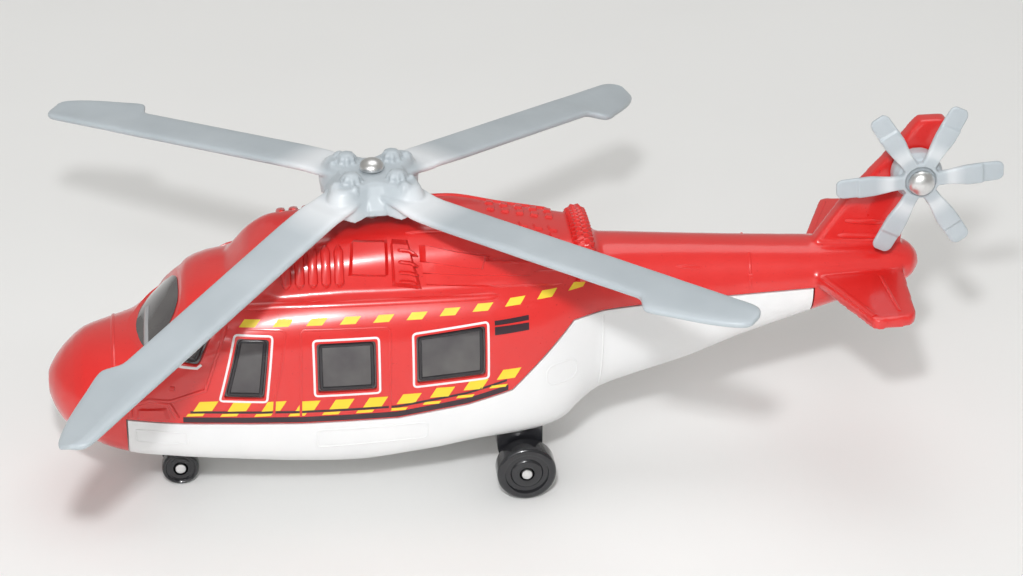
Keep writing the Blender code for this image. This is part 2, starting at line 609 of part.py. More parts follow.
wheel("main_wheel_port", MAIN_AXLE_X, MAIN_WHEEL_R, main_in, main_out, -1)
wheel("main_wheel_starboard", MAIN_AXLE_X, MAIN_WHEEL_R, main_in, main_out, 1)
wheel("nose_wheel_port", NOSE_AXLE_X, NOSE_WHEEL_R, nose_in, nose_out, -1)
wheel("nose_wheel_starboard", NOSE_AXLE_X, NOSE_WHEEL_R, nose_in, nose_out, 1)

# ---------------------------------------------------------------- glazing insert
LINER = WALL + CLEAR
glazing = add_object("window_insert", hull_mesh("window_insert", GLASS_SINK, NOSE_X + 6.0, CABIN_REAR_X, 32, 4.0),
                     mat=SMOKE)
panes = []
for i, shape in enumerate(window_outlines(CLEAR)):
    panes.append(outline_solid(f"pane_{i}", rounded(shape, WINDOW_ROUND), 30.0))
panes.append(outline_solid("pane_screen", screen_outline(CLEAR), 30.0))
bm = bmesh.new()
for me in panes:
    bm.from_mesh(me)
    bpy.data.meshes.remove(me)
pane_ob = add_object("cut_panes", mesh_from(bm, "cut_panes"), cutter=True)
boolean(glazing, pane_ob, "INTERSECT")
liner = add_object("cut_liner", hull_mesh("cut_liner", LINER, CAVITY_FRONT_X + 0.6, CABIN_REAR_X - 4.0, 24, 5.0),
                   cutter=True)
liner_low = SILL_Z + 2.6
liner_box = add_object("cut_liner_box", box_mesh("cut_liner_box", -60.0, 60.0, -30.0, 30.0, liner_low, ROOF_Z - 2.8),
                       cutter=True)
boolean(liner, liner_box, "INTERSECT")
boolean(glazing, liner, "UNION")
core = add_object("cut_glass_core", hull_mesh("cut_glass_core", LINER + GLASS_WALL, CAVITY_FRONT_X + 1.9,
                  CABIN_REAR_X + 4.0, 24, 5.0), cutter=True)
boolean(glazing, core, "DIFFERENCE")
for i, px in enumerate(POST_X):
    hole = add_object(f"cut_glass_post_{i}", cylinder_mesh(f"cut_glass_post_{i}", POST_R + CLEAR, 10.0, 50.0, 16,
                      centre=(px, 0.0), to_world=True), cutter=True)
    boolean(glazing, hole, "DIFFERENCE")
smooth(glazing)

# ---------------------------------------------------------------- main rotor
HUB_HOLE_R = RIVET_SHANK_R + CLEAR
rotor_at = P(0.0, 0.0, HUB_BOTTOM_Z)
hub_h = HUB_TOP_Z - HUB_BOTTOM_Z
hub_profile = [(HUB_HOLE_R, hub_h), (HUB_R - 2.6, hub_h), (HUB_R - 0.5, 0.62 * hub_h), (HUB_R, 0.45 * hub_h),
               (HUB_R, 0.1), (HUB_R - 0.1, 0.0), (HUB_HOLE_R, 0.0), (HUB_HOLE_R, hub_h)]
rotor = turned("main_rotor", hub_profile, rotor_at, GREY, segments=32)


def blade_z(s, tip):
    """Height of a blade's middle above the hub's foot: a short drop, then a long lean."""
    root, knee = hub_h - 0.9, hub_h - 1.9
    if s < HUB_R + 4.0:
        t = max(0.0, (s - 3.0) / (HUB_R + 1.0))
        return lerp(root, knee, t * t * (3 - 2 * t))
    t = (s - HUB_R - 4.0) / (ROTOR_R - HUB_R - 4.0)
    return lerp(knee, tip, t)


def blade_mesh(name, angle, tip):
    """One blade, lofted along its length; t runs across it, clockwise from above."""
    tip_mid, tip_half = 0.5, 1.0
    rows = [(2.6, BLADE_LEAD, BLADE_TRAIL), (6.0, BLADE_LEAD - 0.3, BLADE_TRAIL - 0.6),
            (HUB_R + 2.5, BLADE_LEAD, BLADE_TRAIL - 0.3)]
    span = PADDLE_START - HUB_R - 2.5
    for k in range(1, 6):
        rows.append((HUB_R + 2.5 + span * k / 5.0, BLADE_LEAD, BLADE_TRAIL))
    rows.append((PADDLE_START + 2.2, BLADE_LEAD, PADDLE_TRAIL))
    out = ROTOR_R - PADDLE_START
    rows += [(PADDLE_START + 0.42 * out, BLADE_LEAD, PADDLE_TRAIL - 0.6),
             (PADDLE_START + 0.68 * out, BLADE_LEAD + 0.1, PADDLE_TRAIL - 1.3),
             (ROTOR_R - 2.4, BLADE_LEAD + 0.5, PADDLE_TRAIL - 2.3),
             (ROTOR_R - 0.9, BLADE_LEAD + 1.2, PADDLE_TRAIL - 3.2),
             (ROTOR_R, tip_mid - tip_half, tip_mid + tip_half)]
    ca, sa = math.cos(angle), math.sin(angle)
    rings = []
    for s, t0, t1 in rows:
        h = 0.5 * BLADE_THICK
        z = blade_z(s, tip)
        c = min(0.4, 0.3 * (t1 - t0))
        dip = 0.5 if t1 > BLADE_TRAIL + 0.2 else 0.0
        section = [(t0, z - 0.4 * h), (t0 + c, z - h), (t1 - 1.6 * c, z - h - 0.4 * dip), (t1, z - 0.4 * h - dip),
                   (t1, z + 0.3 * h - dip), (t1 - 1.6 * c, z + h - 0.4 * dip), (t0 + c, z + h), (t0, z + 0.4 * h)]
        rings.append([(s * ca + t * sa, s * sa - t * ca, zz) for t, zz in section])
    return loft(name, rings, to_world=False)


KNOB_S, KNOB_R, LUMP_S, LUMP_R = 4.3, 1.35, 6.9, 1.0
for k in range(4):
    ang = math.radians(45.0 + ROTOR_PHASE + 90.0 * k)
    b = add_object(f"cut_blade_{k}", blade_mesh(f"cut_blade_{k}", ang, TIP_Z[k] - HUB_BOTTOM_Z), rotor_at,
                   cutter=True)
    boolean(rotor, b, "UNION")
    for tag, s, r, zz in (("knob", KNOB_S, KNOB_R, hub_h + 0.1), ("lump", LUMP_S, LUMP_R, hub_h - 0.5)):
        m = sphere_mesh(f"cut_{tag}_{k}", r, (s * math.cos(ang), s * math.sin(ang), zz))
        boolean(rotor, add_object(f"cut_{tag}_{k}", m, rotor_at, cutter=True), "UNION")
bore = add_object("cut_hub_bore", cylinder_mesh("cut_hub_bore", HUB_HOLE_R, -3.0, 8.0, 16), rotor_at, cutter=True)
boolean(rotor, bore, "DIFFERENCE")
smooth(rotor)


def rivet(name, where, shank_len, axis):
    """Domed rivet: the head stands on the rotor, the shank runs back into the casting."""
    r, h = RIVET_HEAD_R, RIVET_HEAD_H
    dome = [(0.0, h)]
    for k in range(1, 6):
        a = math.radians(90.0 - 15.0 * k)
        dome.append((r * math.cos(a), 0.3 + (h - 0.3) * math.sin(a)))
    profile = dome + [(r, 0.2), (r - 0.15, 0.0), (RIVET_SHANK_R, 0.0), (RIVET_SHANK_R, -shank_len), (0.0, -shank_len)]
    ob = turned(name, profile, where, STEEL, axis=axis, segments=20)
    smooth(ob)
    return ob


rivet("main_rotor_rivet", P(0.0, 0.0, HUB_TOP_Z + CLEAR), HUB_TOP_Z + CLEAR - BOSS_BOTTOM_Z, "Z")

# ---------------------------------------------------------------- tail rotor
fin_face = 0.5 * FIN_THICK
collar_in = fin_face + CLEAR
COLLAR_H = 2.6
blade_in = collar_in + COLLAR_H
blade_out = blade_in + TAIL_BLADE_THICK
tail_at = P(TAIL_ROTOR_X, 0.0, TAIL_ROTOR_Z)
collar_profile = [(HUB_HOLE_R, blade_out), (2.3, blade_out), (2.5, blade_in), (TAIL_ROTOR_COLLAR_R - 0.8, blade_in),
                  (TAIL_ROTOR_COLLAR_R, blade_in - 0.9), (TAIL_ROTOR_COLLAR_R, collar_in), (HUB_HOLE_R, collar_in),
                  (HUB_HOLE_R, blade_out)]
tail = turned("tail_rotor", collar_profile, tail_at, GREY, axis="Y", segments=28)


def tail_blade(name, angle):
    """Flat paddle blade in the disc's plane, a little wider and thinner at its end."""
    ca, sa = math.cos(angle), math.sin(angle)
    rings = []
    for r, w, d0, d1 in ((1.6, TAIL_BLADE_ROOT, 0.0, 1.0), (TAIL_ROTOR_R - 3.2, 0.5 * (TAIL_BLADE_ROOT + TAIL_BLADE_TIP), 0.0, 1.0),
                         (TAIL_ROTOR_R - 2.2, TAIL_BLADE_TIP, 0.0, 1.0), (TAIL_ROTOR_R - 2.0, TAIL_BLADE_TIP, 0.15, 0.75),
                         (TAIL_ROTOR_R - 0.5, TAIL_BLADE_TIP, 0.15, 0.75), (TAIL_ROTOR_R, TAIL_BLADE_TIP - 0.9, 0.15, 0.75)):
        y0, y1 = blade_in + d0 * TAIL_BLADE_THICK, blade_in + d1 * TAIL_BLADE_THICK
        h, c = 0.5 * w, 0.2
        section = [(-h, y0 + c), (-h + c, y0), (h - c, y0), (h, y0 + c), (h, y1 - c), (h - c, y1), (-h + c, y1),
                   (-h, y1 - c)]
        rings.append([(r * ca - q * sa, r * sa + q * ca, y) for q, y in section])
    return loft(name, rings, to_world=False)


for k in range(6):
    ang = math.radians(TAIL_PHASE + 60.0 * k)
    b = add_object(f"cut_tail_blade_{k}", tail_blade(f"cut_tail_blade_{k}", ang), tail_at, cutter=True)
    b.rotation_euler = (math.radians(90.0), 0.0, 0.0)
    boolean(tail, b, "UNION")
tail_bore = add_object("cut_tail_bore", cylinder_mesh("cut_tail_bore", HUB_HOLE_R, 0.0, 12.0, 16), tail_at,
                       cutter=True)
tail_bore.rotation_euler = (math.radians(90.0), 0.0, 0.0)
boolean(tail, tail_bore, "DIFFERENCE")
smooth(tail)
rivet("tail_rotor_rivet", P(TAIL_ROTOR_X, -(blade_out + CLEAR), TAIL_ROTOR_Z), blade_out + CLEAR + 0.8, "Y")
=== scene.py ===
"""Looks of the toy transport helicopter: painted casting, white base, glazing, rotors and wheels.

Lengths are millimetres from the main rotor's axis and from the ground, as in the CAD. MM turns
them into metres and at() puts them in the frame. Port is -Y, the nose points to -X.
"""
import json
from math import atan2, copysign, cos, degrees, exp, hypot, pi, radians, sin

import bmesh
import bpy
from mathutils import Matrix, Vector
from mathutils.bvhtree import BVHTree


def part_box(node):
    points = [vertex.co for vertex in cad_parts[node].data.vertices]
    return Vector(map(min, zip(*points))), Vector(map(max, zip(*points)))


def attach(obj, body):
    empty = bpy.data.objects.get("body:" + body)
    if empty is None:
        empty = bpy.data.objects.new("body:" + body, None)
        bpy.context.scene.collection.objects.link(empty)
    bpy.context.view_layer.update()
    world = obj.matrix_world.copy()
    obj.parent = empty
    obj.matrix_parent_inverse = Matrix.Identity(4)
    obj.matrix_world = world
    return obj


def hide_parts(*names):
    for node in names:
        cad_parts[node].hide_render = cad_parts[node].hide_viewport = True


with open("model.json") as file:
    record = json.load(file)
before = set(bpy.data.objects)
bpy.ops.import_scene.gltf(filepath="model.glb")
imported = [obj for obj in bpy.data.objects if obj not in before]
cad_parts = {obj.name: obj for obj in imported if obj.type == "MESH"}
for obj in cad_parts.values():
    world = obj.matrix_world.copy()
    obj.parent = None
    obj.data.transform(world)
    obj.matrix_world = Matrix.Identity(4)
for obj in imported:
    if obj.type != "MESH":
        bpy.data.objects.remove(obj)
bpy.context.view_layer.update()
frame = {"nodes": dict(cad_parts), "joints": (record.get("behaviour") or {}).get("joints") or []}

MM = 0.001
JOINT_AT = {j["name"]: Vector(j["pos_m"]) for j in frame["joints"]}
HUB = JOINT_AT["main_rotor_spin"]
SIDES = (-1, 1)


def at(x, y, z):
    """Point in the frame, from the millimetres used here."""
    return Vector((HUB.x + x * MM, y * MM, z * MM))


def box_mm(node):
    """Lowest and highest corners of a CAD node, in the same millimetres."""
    return [((v.x - HUB.x) / MM, v.y / MM, v.z / MM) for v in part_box(node)]


(NOSE_X, _, _), (FIN_REAR_X, STAB_TIP_Y, FIN_TOP_Z) = box_mm("body_casting")
(BASE_FRONT_X, _, BELLY_Z), (BASE_REAR_X, CABIN_HALF, _) = box_mm("base_shell")

# ---- driving sizes (mm)
CABIN_REAR_X = 21.0
BOOM_X = 31.0
TAIL_X = FIN_REAR_X - 2.9
BOOM_HALF = 7.4
TAIL_HALF = 5.0
ROOF_Z = 34.4
BOOM_TOP_Z = 33.9
TAIL_TOP_Z = 31.8
COWL_TOP_Z = 39.7
COWL_HALF = 9.8
COWL_FOOT_Z = 29.4
SILL_Z = 15.2
FLANK_Z = 26.6
FIN_HALF = 1.2
STAB_Z = 28.0
STAB_HALF = 0.8
OUTSIDE = 30.0          # well past either flank
PANE_DEPTH = 9.4        # how near the middle the window cutters reach
BASE_GAP = 0.22         # the base is drawn in by this at its joint with the casting
GLASS_INSET = 0.4       # the glazing lies this far behind the skin
PRINT_LIFT = 0.03       # a printed sheet stands this proud


# ---- small tools
def lerp(a, b, t):
    return a + (b - a) * t


def bent(c, power):
    """A sine or cosine raised to a power with its sign kept, which squares off a round section."""
    return copysign(abs(c) ** power, c)


def hermite(table, x):
    """Smooth value of each column of a table at x (its first column)."""
    last = len(table) - 2
    i = 0
    while i < last and x > table[i + 1][0]:
        i += 1
    x0, x1 = table[i][0], table[i + 1][0]
    h = x1 - x0
    t = min(1.0, max(0.0, (x - x0) / h))
    out = []
    for k in range(1, len(table[0])):
        y0, y1 = table[i][k], table[i + 1][k]
        s = (y1 - y0) / h
        sa = s if i == 0 else (y0 - table[i - 1][k]) / (x0 - table[i - 1][0])
        sb = s if i == last else (table[i + 2][k] - y1) / (table[i + 2][0] - x1)
        m0 = 0.0 if sa * s <= 0.0 else 2.0 * sa * s / (sa + s)
        m1 = 0.0 if sb * s <= 0.0 else 2.0 * sb * s / (sb + s)
        out.append(y0 * (2 * t ** 3 - 3 * t ** 2 + 1) + m0 * h * (t ** 3 - 2 * t ** 2 + t)
                   + y1 * (3 * t ** 2 - 2 * t ** 3) + m1 * h * (t ** 3 - t ** 2))
    return out


def spread(start, end, step):
    """Evenly spaced values from start to end, about a step apart."""
    n = max(1, int(round(abs(end - start) / step)))
    return [lerp(start, end, i / n) for i in range(n + 1)]


def rounded(outline, r, steps=4):
    """A closed outline with its corners cut round."""
    out = []
    n = len(outline)
    for i in range(n):
        p, a, b = (Vector(outline[k % n]) for k in (i, i - 1, i + 1))
        u, v = a - p, b - p
        cut = min(r, 0.45 * u.length, 0.45 * v.length)
        s, e = p + u.normalized() * cut, p + v.normalized() * cut
        for k in range(steps + 1):
            t = k / steps
            q = s * (1 - t) ** 2 + p * 2 * t * (1 - t) + e * t ** 2
            out.append((q.x, q.y))
    return out


def grown(outline, d):
    """A clockwise or anticlockwise convex outline with each side moved out by d."""
    n = len(outline)
    pts = [Vector(p) for p in outline]
    centre = sum(pts, Vector((0.0, 0.0))) / n
    lines = []
    for i in range(n):
        a, b = pts[i], pts[(i + 1) % n]
        nrm = Vector((b.y - a.y, a.x - b.x)).normalized()
        if nrm.dot(a - centre) < 0.0:
            nrm = -nrm
        lines.append((a + nrm * d, (b - a).normalized()))
    out = []
    for i in range(n):
        (p, u), (q, v) = lines[i - 1], lines[i]
        den = u.x * v.y - u.y * v.x
        t = ((q - p).x * v.y - (q - p).y * v.x) / den
        out.append(tuple(p + u * t))
    return out


def add_tube(bm, rings, closed=False):
    """Skins rings of points, in frame metres; the ends are capped unless the tube is closed."""
    rows = [[bm.verts.new(p) for p in ring] for ring in rings]
    count = len(rows[0])
    pairs = list(zip(rows, rows[1:])) + ([(rows[-1], rows[0])] if closed else [])
    for a, b in pairs:
        for i in range(count):
            j = (i + 1) % count
            bm.faces.new((a[i], a[j], b[j], b[i]))
    if not closed:
        bm.faces.new(rows[0])
        bm.faces.new(list(reversed(rows[-1])))


def finish_mesh(bm, name):
    """Mesh with outward faces; each closed shell in it is turned the right way out."""
    bmesh.ops.recalc_face_normals(bm, faces=bm.faces[:])
    if bm.calc_volume(signed=True) < 0.0:
        bmesh.ops.reverse_faces(bm, faces=bm.faces[:])
    me = bpy.data.meshes.new(name)
    bm.to_mesh(me)
    bm.free()
    return me


def link(name, mesh):
    ob = bpy.data.objects.new(name, mesh)
    bpy.context.scene.collection.objects.link(ob)
    return ob


def piece(name, bm):
    return link(name, finish_mesh(bm, name))


def apply_modifiers(ob):
    """Puts the result of an object's modifiers in its own mesh."""
    graph = bpy.context.evaluated_depsgraph_get()
    me = bpy.data.meshes.new_from_object(ob.evaluated_get(graph), depsgraph=graph)
    ob.modifiers.clear()
    ob.data = me


def combine(ob, mesh, operation):
    """Exact boolean of an object with a mesh."""
    other = link(f"{ob.name}_tool", mesh)
    m = ob.modifiers.new("cut", "BOOLEAN")
    m.object = other
    m.operation = operation
    m.solver = "EXACT"
    apply_modifiers(ob)
    bpy.data.objects.remove(other, do_unlink=True)


def joined(name, meshes):
    """One mesh holding the shells of several."""
    bm = bmesh.new()
    for me in meshes:
        bm.from_mesh(me)
    out = bpy.data.meshes.new(name)
    bm.to_mesh(out)
    bm.free()
    return out


def remesh(ob, voxel, rounds):
    """Melts joined shapes into one skin with soft inner corners, as a moulding has."""
    m = ob.modifiers.new("remesh", "REMESH")
    m.mode = "VOXEL"
    m.voxel_size = voxel * MM
    s = ob.modifiers.new("soften", "SMOOTH")
    s.factor = 0.5
    s.iterations = rounds
    apply_modifiers(ob)


def dress(ob, mat, body, angle=40.0, replaces=()):
    """Material, shading and body of a finished piece, and the CAD nodes that it hides."""
    me = ob.data
    me.materials.clear()
    me.materials.append(mat)
    me.shade_smooth()
    me.set_sharp_from_angle(angle=radians(angle))
    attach(ob, body)
    if replaces:
        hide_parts(*replaces)


def prism(name, outline, y0, y1):
    """Outline seen from the side, drawn out from y0 to y1."""
    bm = bmesh.new()
    add_tube(bm, [[at(x, y, z) for x, z in outline] for y in (y0, y1)])
    bmesh.ops.triangulate(bm, faces=[f for f in bm.faces if len(f.verts) > 4])
    return finish_mesh(bm, name)


# ---- materials
def add_node(tree, kind, **values):
    """A node with some of its inputs set; an underscore stands for a blank in an input's name."""
    n = tree.nodes.new("ShaderNode" + kind)
    for key, value in values.items():
        n.inputs[key.replace("_", " ")].default_value = value
    return n


def noise(tree, scale, detail=3.0, rough=0.5):
    """Noise in object space, so many features to a metre."""
    n = add_node(tree, "TexNoise", Scale=scale, Detail=detail, Roughness=rough)
    tree.links.new(add_node(tree, "TexCoord").outputs["Object"], n.inputs["Vector"])
    return n.outputs["Fac"]


def ramp(tree, source, stops):
    """Colours, or grey levels, along a value from 0 to 1."""
    r = add_node(tree, "ValToRGB")
    el = r.color_ramp.elements
    while len(el) < len(stops):
        el.new(0.5)
    for e, (pos, colour) in zip(el, stops):
        e.position = pos
        e.color = (*colour, 1.0) if len(colour) == 3 else (colour[0],) * 3 + (1.0,)
    tree.links.new(source, r.inputs["Fac"])
    return r.outputs["Color"]


def mixed(tree, mask, colour, other):
    """A colour that gives way to another, plain one where the mask is white."""
    mix = add_node(tree, "Mix")
    mix.data_type = "RGBA"
    tree.links.new(mask, mix.inputs[0])
    tree.links.new(colour, mix.inputs[6])
    mix.inputs[7].default_value = (*other, 1.0)
    return mix.outputs[2]


def finish(name, dark, light, rough, patch_mm, grain_mm, bump, coat=0.0, metallic=0.0,
           scatter=0.0, speck=None, coat_rough=0.05):
    """A moulded, cast or painted surface: slow colour drift, uneven gloss and a fine skin."""
    m = bpy.data.materials.new(name)
    m.use_nodes = True
    tree, b = m.node_tree, m.node_tree.nodes["Principled BSDF"]
    colour = ramp(tree, noise(tree, 1.0 / (patch_mm * MM)), [(0.3, dark), (0.7, light)])
    if speck:
        spots = noise(tree, 1.0 / (0.35 * MM), 1.0)
        mask = ramp(tree, spots, [(0.71, (0.0,)), (0.76, (1.0,))])
        colour = mixed(tree, mask, colour, speck)
    tree.links.new(colour, b.inputs["Base Color"])
    gloss = noise(tree, 1.0 / (2.5 * grain_mm * MM), 4.0, 0.6)
    rough_map = add_node(tree, "MapRange", To_Min=rough * 0.8, To_Max=rough * 1.25)
    tree.links.new(gloss, rough_map.inputs["Value"])
    tree.links.new(rough_map.outputs["Result"], b.inputs["Roughness"])
    skin = noise(tree, 1.0 / (grain_mm * MM), 2.0)
    bp = add_node(tree, "Bump", Strength=1.0, Distance=bump * MM)
    tree.links.new(skin, bp.inputs["Height"])
    tree.links.new(bp.outputs["Normal"], b.inputs["Normal"])
    b.inputs["Metallic"].default_value = metallic
    b.inputs["Coat Weight"].default_value = coat
    b.inputs["Coat Roughness"].default_value = coat_rough
    if scatter:
        b.inputs["Subsurface Weight"].default_value = scatter
        b.inputs["Subsurface Radius"].default_value = (1.0, 1.0, 1.0)
        b.inputs["Subsurface Scale"].default_value = 0.8 * MM
    return m


RED = finish("red_enamel", (0.62, 0.014, 0.012), (0.67, 0.021, 0.018), 0.30, 9.0, 0.7, 0.006,
             coat=0.7, speck=(0.54, 0.011, 0.011), coat_rough=0.12)
WHITE = finish("white_plastic", (0.755, 0.76, 0.765), (0.79, 0.79, 0.79), 0.32, 12.0, 0.5, 0.003,
               scatter=0.1)
GREY = ((0.40, 0.445, 0.475), (0.45, 0.495, 0.525), 0.36, 10.0, 0.4, 0.004)
GREY_ROTOR = finish("grey_plastic", *GREY, scatter=0.2)
GREY_TAIL = finish("grey_tail_plastic", *GREY, scatter=0.2)
BLACK = finish("black_plastic", (0.010, 0.010, 0.012), (0.018, 0.018, 0.021), 0.2, 3.0, 0.4, 0.003,
               coat=0.4)
SMOKE = finish("smoke_glazing", (0.040, 0.034, 0.038), (0.085, 0.080, 0.078), 0.09, 6.0, 1.5, 0.003,
               coat=0.8)
SMOKE_RIM = finish("smoke_rim", (0.018, 0.017, 0.020), (0.030, 0.027, 0.030), 0.16, 4.0, 0.8, 0.004)
SMOKE_LIGHT = finish("smoke_pillar", (0.30, 0.30, 0.31), (0.36, 0.36, 0.37), 0.20, 4.0, 0.8, 0.004)
STEEL = finish("bright_steel", (0.70, 0.70, 0.70), (0.82, 0.82, 0.81), 0.33, 1.0, 0.12, 0.004,
               metallic=1.0)
YELLOW = finish("yellow_print", (0.80, 0.57, 0.03), (0.84, 0.63, 0.04), 0.5, 5.0, 0.3, 0.004)
BLACK_PRINT = finish("black_print", (0.022, 0.008, 0.014), (0.035, 0.012, 0.020), 0.34, 5.0, 0.3, 0.004,
                     coat=0.3)
WHITE_PRINT = finish("white_print", (0.76, 0.70, 0.71), (0.84, 0.80, 0.81), 0.36, 4.0, 0.3, 0.004,
                     coat=0.3)


def painted_bend_highlight(mat, centre, plane, near, far, fade, pale):
    """Paints a pale ring where a plastic bends, a painted highlight on the bend: a ring between two
    distances from its axis.
    """
    tree = mat.node_tree
    b = tree.nodes["Principled BSDF"]
    colour = b.inputs["Base Color"].links[0].from_socket
    away, level = add_node(tree, "VectorMath"), add_node(tree, "VectorMath")
    away.operation, level.operation = "DISTANCE", "MULTIPLY"
    away.inputs[1].default_value = [c * p for c, p in zip(centre, plane)]
    level.inputs[1].default_value = plane
    tree.links.new(add_node(tree, "TexCoord").outputs["Object"], level.inputs[0])
    tree.links.new(level.outputs["Vector"], away.inputs[0])
    reach = 0.1     # metres that the colour ramp spans
    size = add_node(tree, "MapRange", From_Max=reach)
    tree.links.new(away.outputs["Value"], size.inputs["Value"])
    band = [(near - 0.4 * fade, 0.0), (near, 0.85), (far, 0.85), (far + fade, 0.0)]
    mask = ramp(tree, size.outputs["Result"], [(d * MM / reach, (v,)) for d, v in band])
    tree.links.new(mixed(tree, mask, colour, pale), b.inputs["Base Color"])


# ---- fuselage surfaces
# station, half width, bottom, top, squareness below and above the widest line
HULL = [
    (NOSE_X, 1.6, 14.6, 17.6, 2.0, 2.0),
    (NOSE_X + 0.8, 4.0, 12.7, 18.9, 2.1, 2.0),
    (NOSE_X + 2.5, 6.8, 10.7, 20.8, 2.2, 2.0),
    (NOSE_X + 5.0, CABIN_HALF - 4.2, 9.4, 22.5, 2.4, 2.1),
    (NOSE_X + 8.5, CABIN_HALF - 2.6, 8.4, 23.3, 2.8, 2.2),
    (NOSE_X + 12.0, CABIN_HALF - 1.7, 8.1, 24.2, 3.4, 2.3),
    (NOSE_X + 15.0, CABIN_HALF - 1.1, 8.1, 27.2, 4.0, 2.3),
    (NOSE_X + 18.5, CABIN_HALF - 0.6, 8.0, 30.4, 4.6, 2.4),
    (NOSE_X + 22.5, CABIN_HALF - 0.4, 7.7, ROOF_Z - 2.4, 5.0, 2.6),
    (NOSE_X + 27.0, CABIN_HALF - 0.2, 7.2, ROOF_Z - 0.9, 5.0, 2.7),
    (-11.0, CABIN_HALF - 0.1, BELLY_Z + 0.3, ROOF_Z - 0.3, 5.0, 2.8),
    (-4.0, CABIN_HALF, BELLY_Z, ROOF_Z, 5.0, 2.8),
    (6.0, CABIN_HALF - 0.2, BELLY_Z + 0.9, ROOF_Z, 5.0, 2.8),
    (CABIN_REAR_X - 6.0, CABIN_HALF - 0.6, BELLY_Z + 2.0, ROOF_Z - 0.2, 4.6, 2.8),
    (CABIN_REAR_X, CABIN_HALF - 1.6, BELLY_Z + 2.1, ROOF_Z - 0.4, 4.2, 2.7),
    (CABIN_REAR_X + 4.0, 0.5 * (CABIN_HALF + BOOM_HALF), BELLY_Z + 2.4, BOOM_TOP_Z + 0.3, 3.6, 2.6),
    (BOOM_X - 3.0, BOOM_HALF + 1.4, BELLY_Z + 4.3, BOOM_TOP_Z + 0.1, 3.0, 2.5),
    (BOOM_X, BOOM_HALF, BELLY_Z + 5.6, BOOM_TOP_Z, 2.6, 2.4),
    (BOOM_X + 12.0, lerp(BOOM_HALF, TAIL_HALF, 0.55), 15.4,
     lerp(BOOM_TOP_Z, TAIL_TOP_Z, 0.4), 2.5, 2.4),
    (BASE_REAR_X - 8.7, lerp(BOOM_HALF, TAIL_HALF, 0.8), 18.6,
     lerp(BOOM_TOP_Z, TAIL_TOP_Z, 0.7), 2.4, 2.4),
    (BASE_REAR_X + 0.9, TAIL_HALF, 21.9, TAIL_TOP_Z, 2.4, 2.3),
    (TAIL_X - 10.0, TAIL_HALF - 0.4, 23.2, TAIL_TOP_Z - 0.2, 2.3, 2.2),
    (TAIL_X - 4.0, TAIL_HALF - 1.0, 24.5, TAIL_TOP_Z - 0.6, 2.2, 2.2),
    (TAIL_X - 1.2, TAIL_HALF - 2.0, 25.7, TAIL_TOP_Z - 1.4, 2.1, 2.1),
    (TAIL_X, TAIL_HALF - 3.6, 27.0, TAIL_TOP_Z - 2.6, 2.0, 2.0),
]

# engine cowling: station, half width at the foot, half width at the top, top
COWL = [
    (-20.8, COWL_HALF - 3.0, 3.6, COWL_TOP_Z - 7.6),
    (-19.0, COWL_HALF - 1.4, 4.6, COWL_TOP_Z - 5.6),
    (-16.5, COWL_HALF - 0.6, 5.2, COWL_TOP_Z - 3.0),
    (-13.5, COWL_HALF - 0.2, 5.6, COWL_TOP_Z - 1.6),
    (-6.0, COWL_HALF, 5.8, COWL_TOP_Z - 1.1),
    (3.0, COWL_HALF, 5.8, COWL_TOP_Z - 0.4),
    (10.0, COWL_HALF - 0.1, 5.7, COWL_TOP_Z - 0.3),
    (18.0, COWL_HALF - 0.5, 5.4, COWL_TOP_Z - 1.9),
    (25.5, COWL_HALF - 1.4, 5.0, COWL_TOP_Z - 3.4),
    (27.6, COWL_HALF - 2.4, 4.6, COWL_TOP_Z - 3.8),
    (29.6, COWL_HALF - 3.8, 3.8, COWL_TOP_Z - 5.0),
    (30.8, COWL_HALF - 5.2, 3.0, COWL_TOP_Z - 6.2),
]


def hull_ring(x, inset, count):
    """Section of the fuselage at a station, each half squared off by its own power."""
    w, zb, zt, low, high = hermite(HULL, x)
    w, zb, zt = w - inset, zb + inset, zt - inset
    zc, h = 0.5 * (zb + zt), 0.5 * (zt - zb)
    ring = []
    for k in range(count):
        a = 2.0 * pi * (k + 0.5) / count
        c, s = cos(a), sin(a)
        n = high if s > 0.0 else low
        ring.append(at(x, w * bent(c, 2.0 / n), zc + h * bent(s, 2.0 / n)))
    return ring


def hull_mesh(name, inset=0.0, step=1.2, count=88):
    """The whole fuselage shape; stations crowd together at its two round ends."""
    near = [NOSE_X + d for d in (0.0, 0.15, 0.4, 0.8, 1.3, 1.9)]
    far = [TAIL_X - d for d in (1.2, 0.7, 0.3, 0.1, 0.0)]
    xs = near + spread(NOSE_X + 2.5, TAIL_X - 1.8, step) + far
    bm = bmesh.new()
    add_tube(bm, [hull_ring(x, inset, count) for x in xs])
    return finish_mesh(bm, name)


def cowl_half_section(x):
    """Smooth half section (y, z) of the cowling from its foot up to the middle."""
    wb, wt, zt = hermite(COWL, x)
    zb = COWL_FOOT_Z
    pts = [(wb + 0.2, zb - 1.5), (wb, zb), (lerp(wb, wt, 0.3) + 0.3, lerp(zb, zt, 0.35)),
           (lerp(wb, wt, 0.62) + 0.4, lerp(zb, zt, 0.68)), (wt + 0.35, lerp(zb, zt, 0.87)),
           (wt * 0.84, lerp(zb, zt, 0.965)), (wt * 0.45, zt), (0.0, zt + 0.05), (-wt * 0.45, zt)]
    out = []
    for i in range(1, len(pts) - 2):
        p0, p1, p2, p3 = (Vector(pts[i + k]) for k in (-1, 0, 1, 2))
        for k in range(5):
            t = k / 5.0
            q = 0.5 * (2 * p1 + (p2 - p0) * t + (2 * p0 - 5 * p1 + 4 * p2 - p3) * t ** 2
                       + (3 * p1 - p0 - 3 * p2 + p3) * t ** 3)
            out.append((q.x, q.y))
    return out


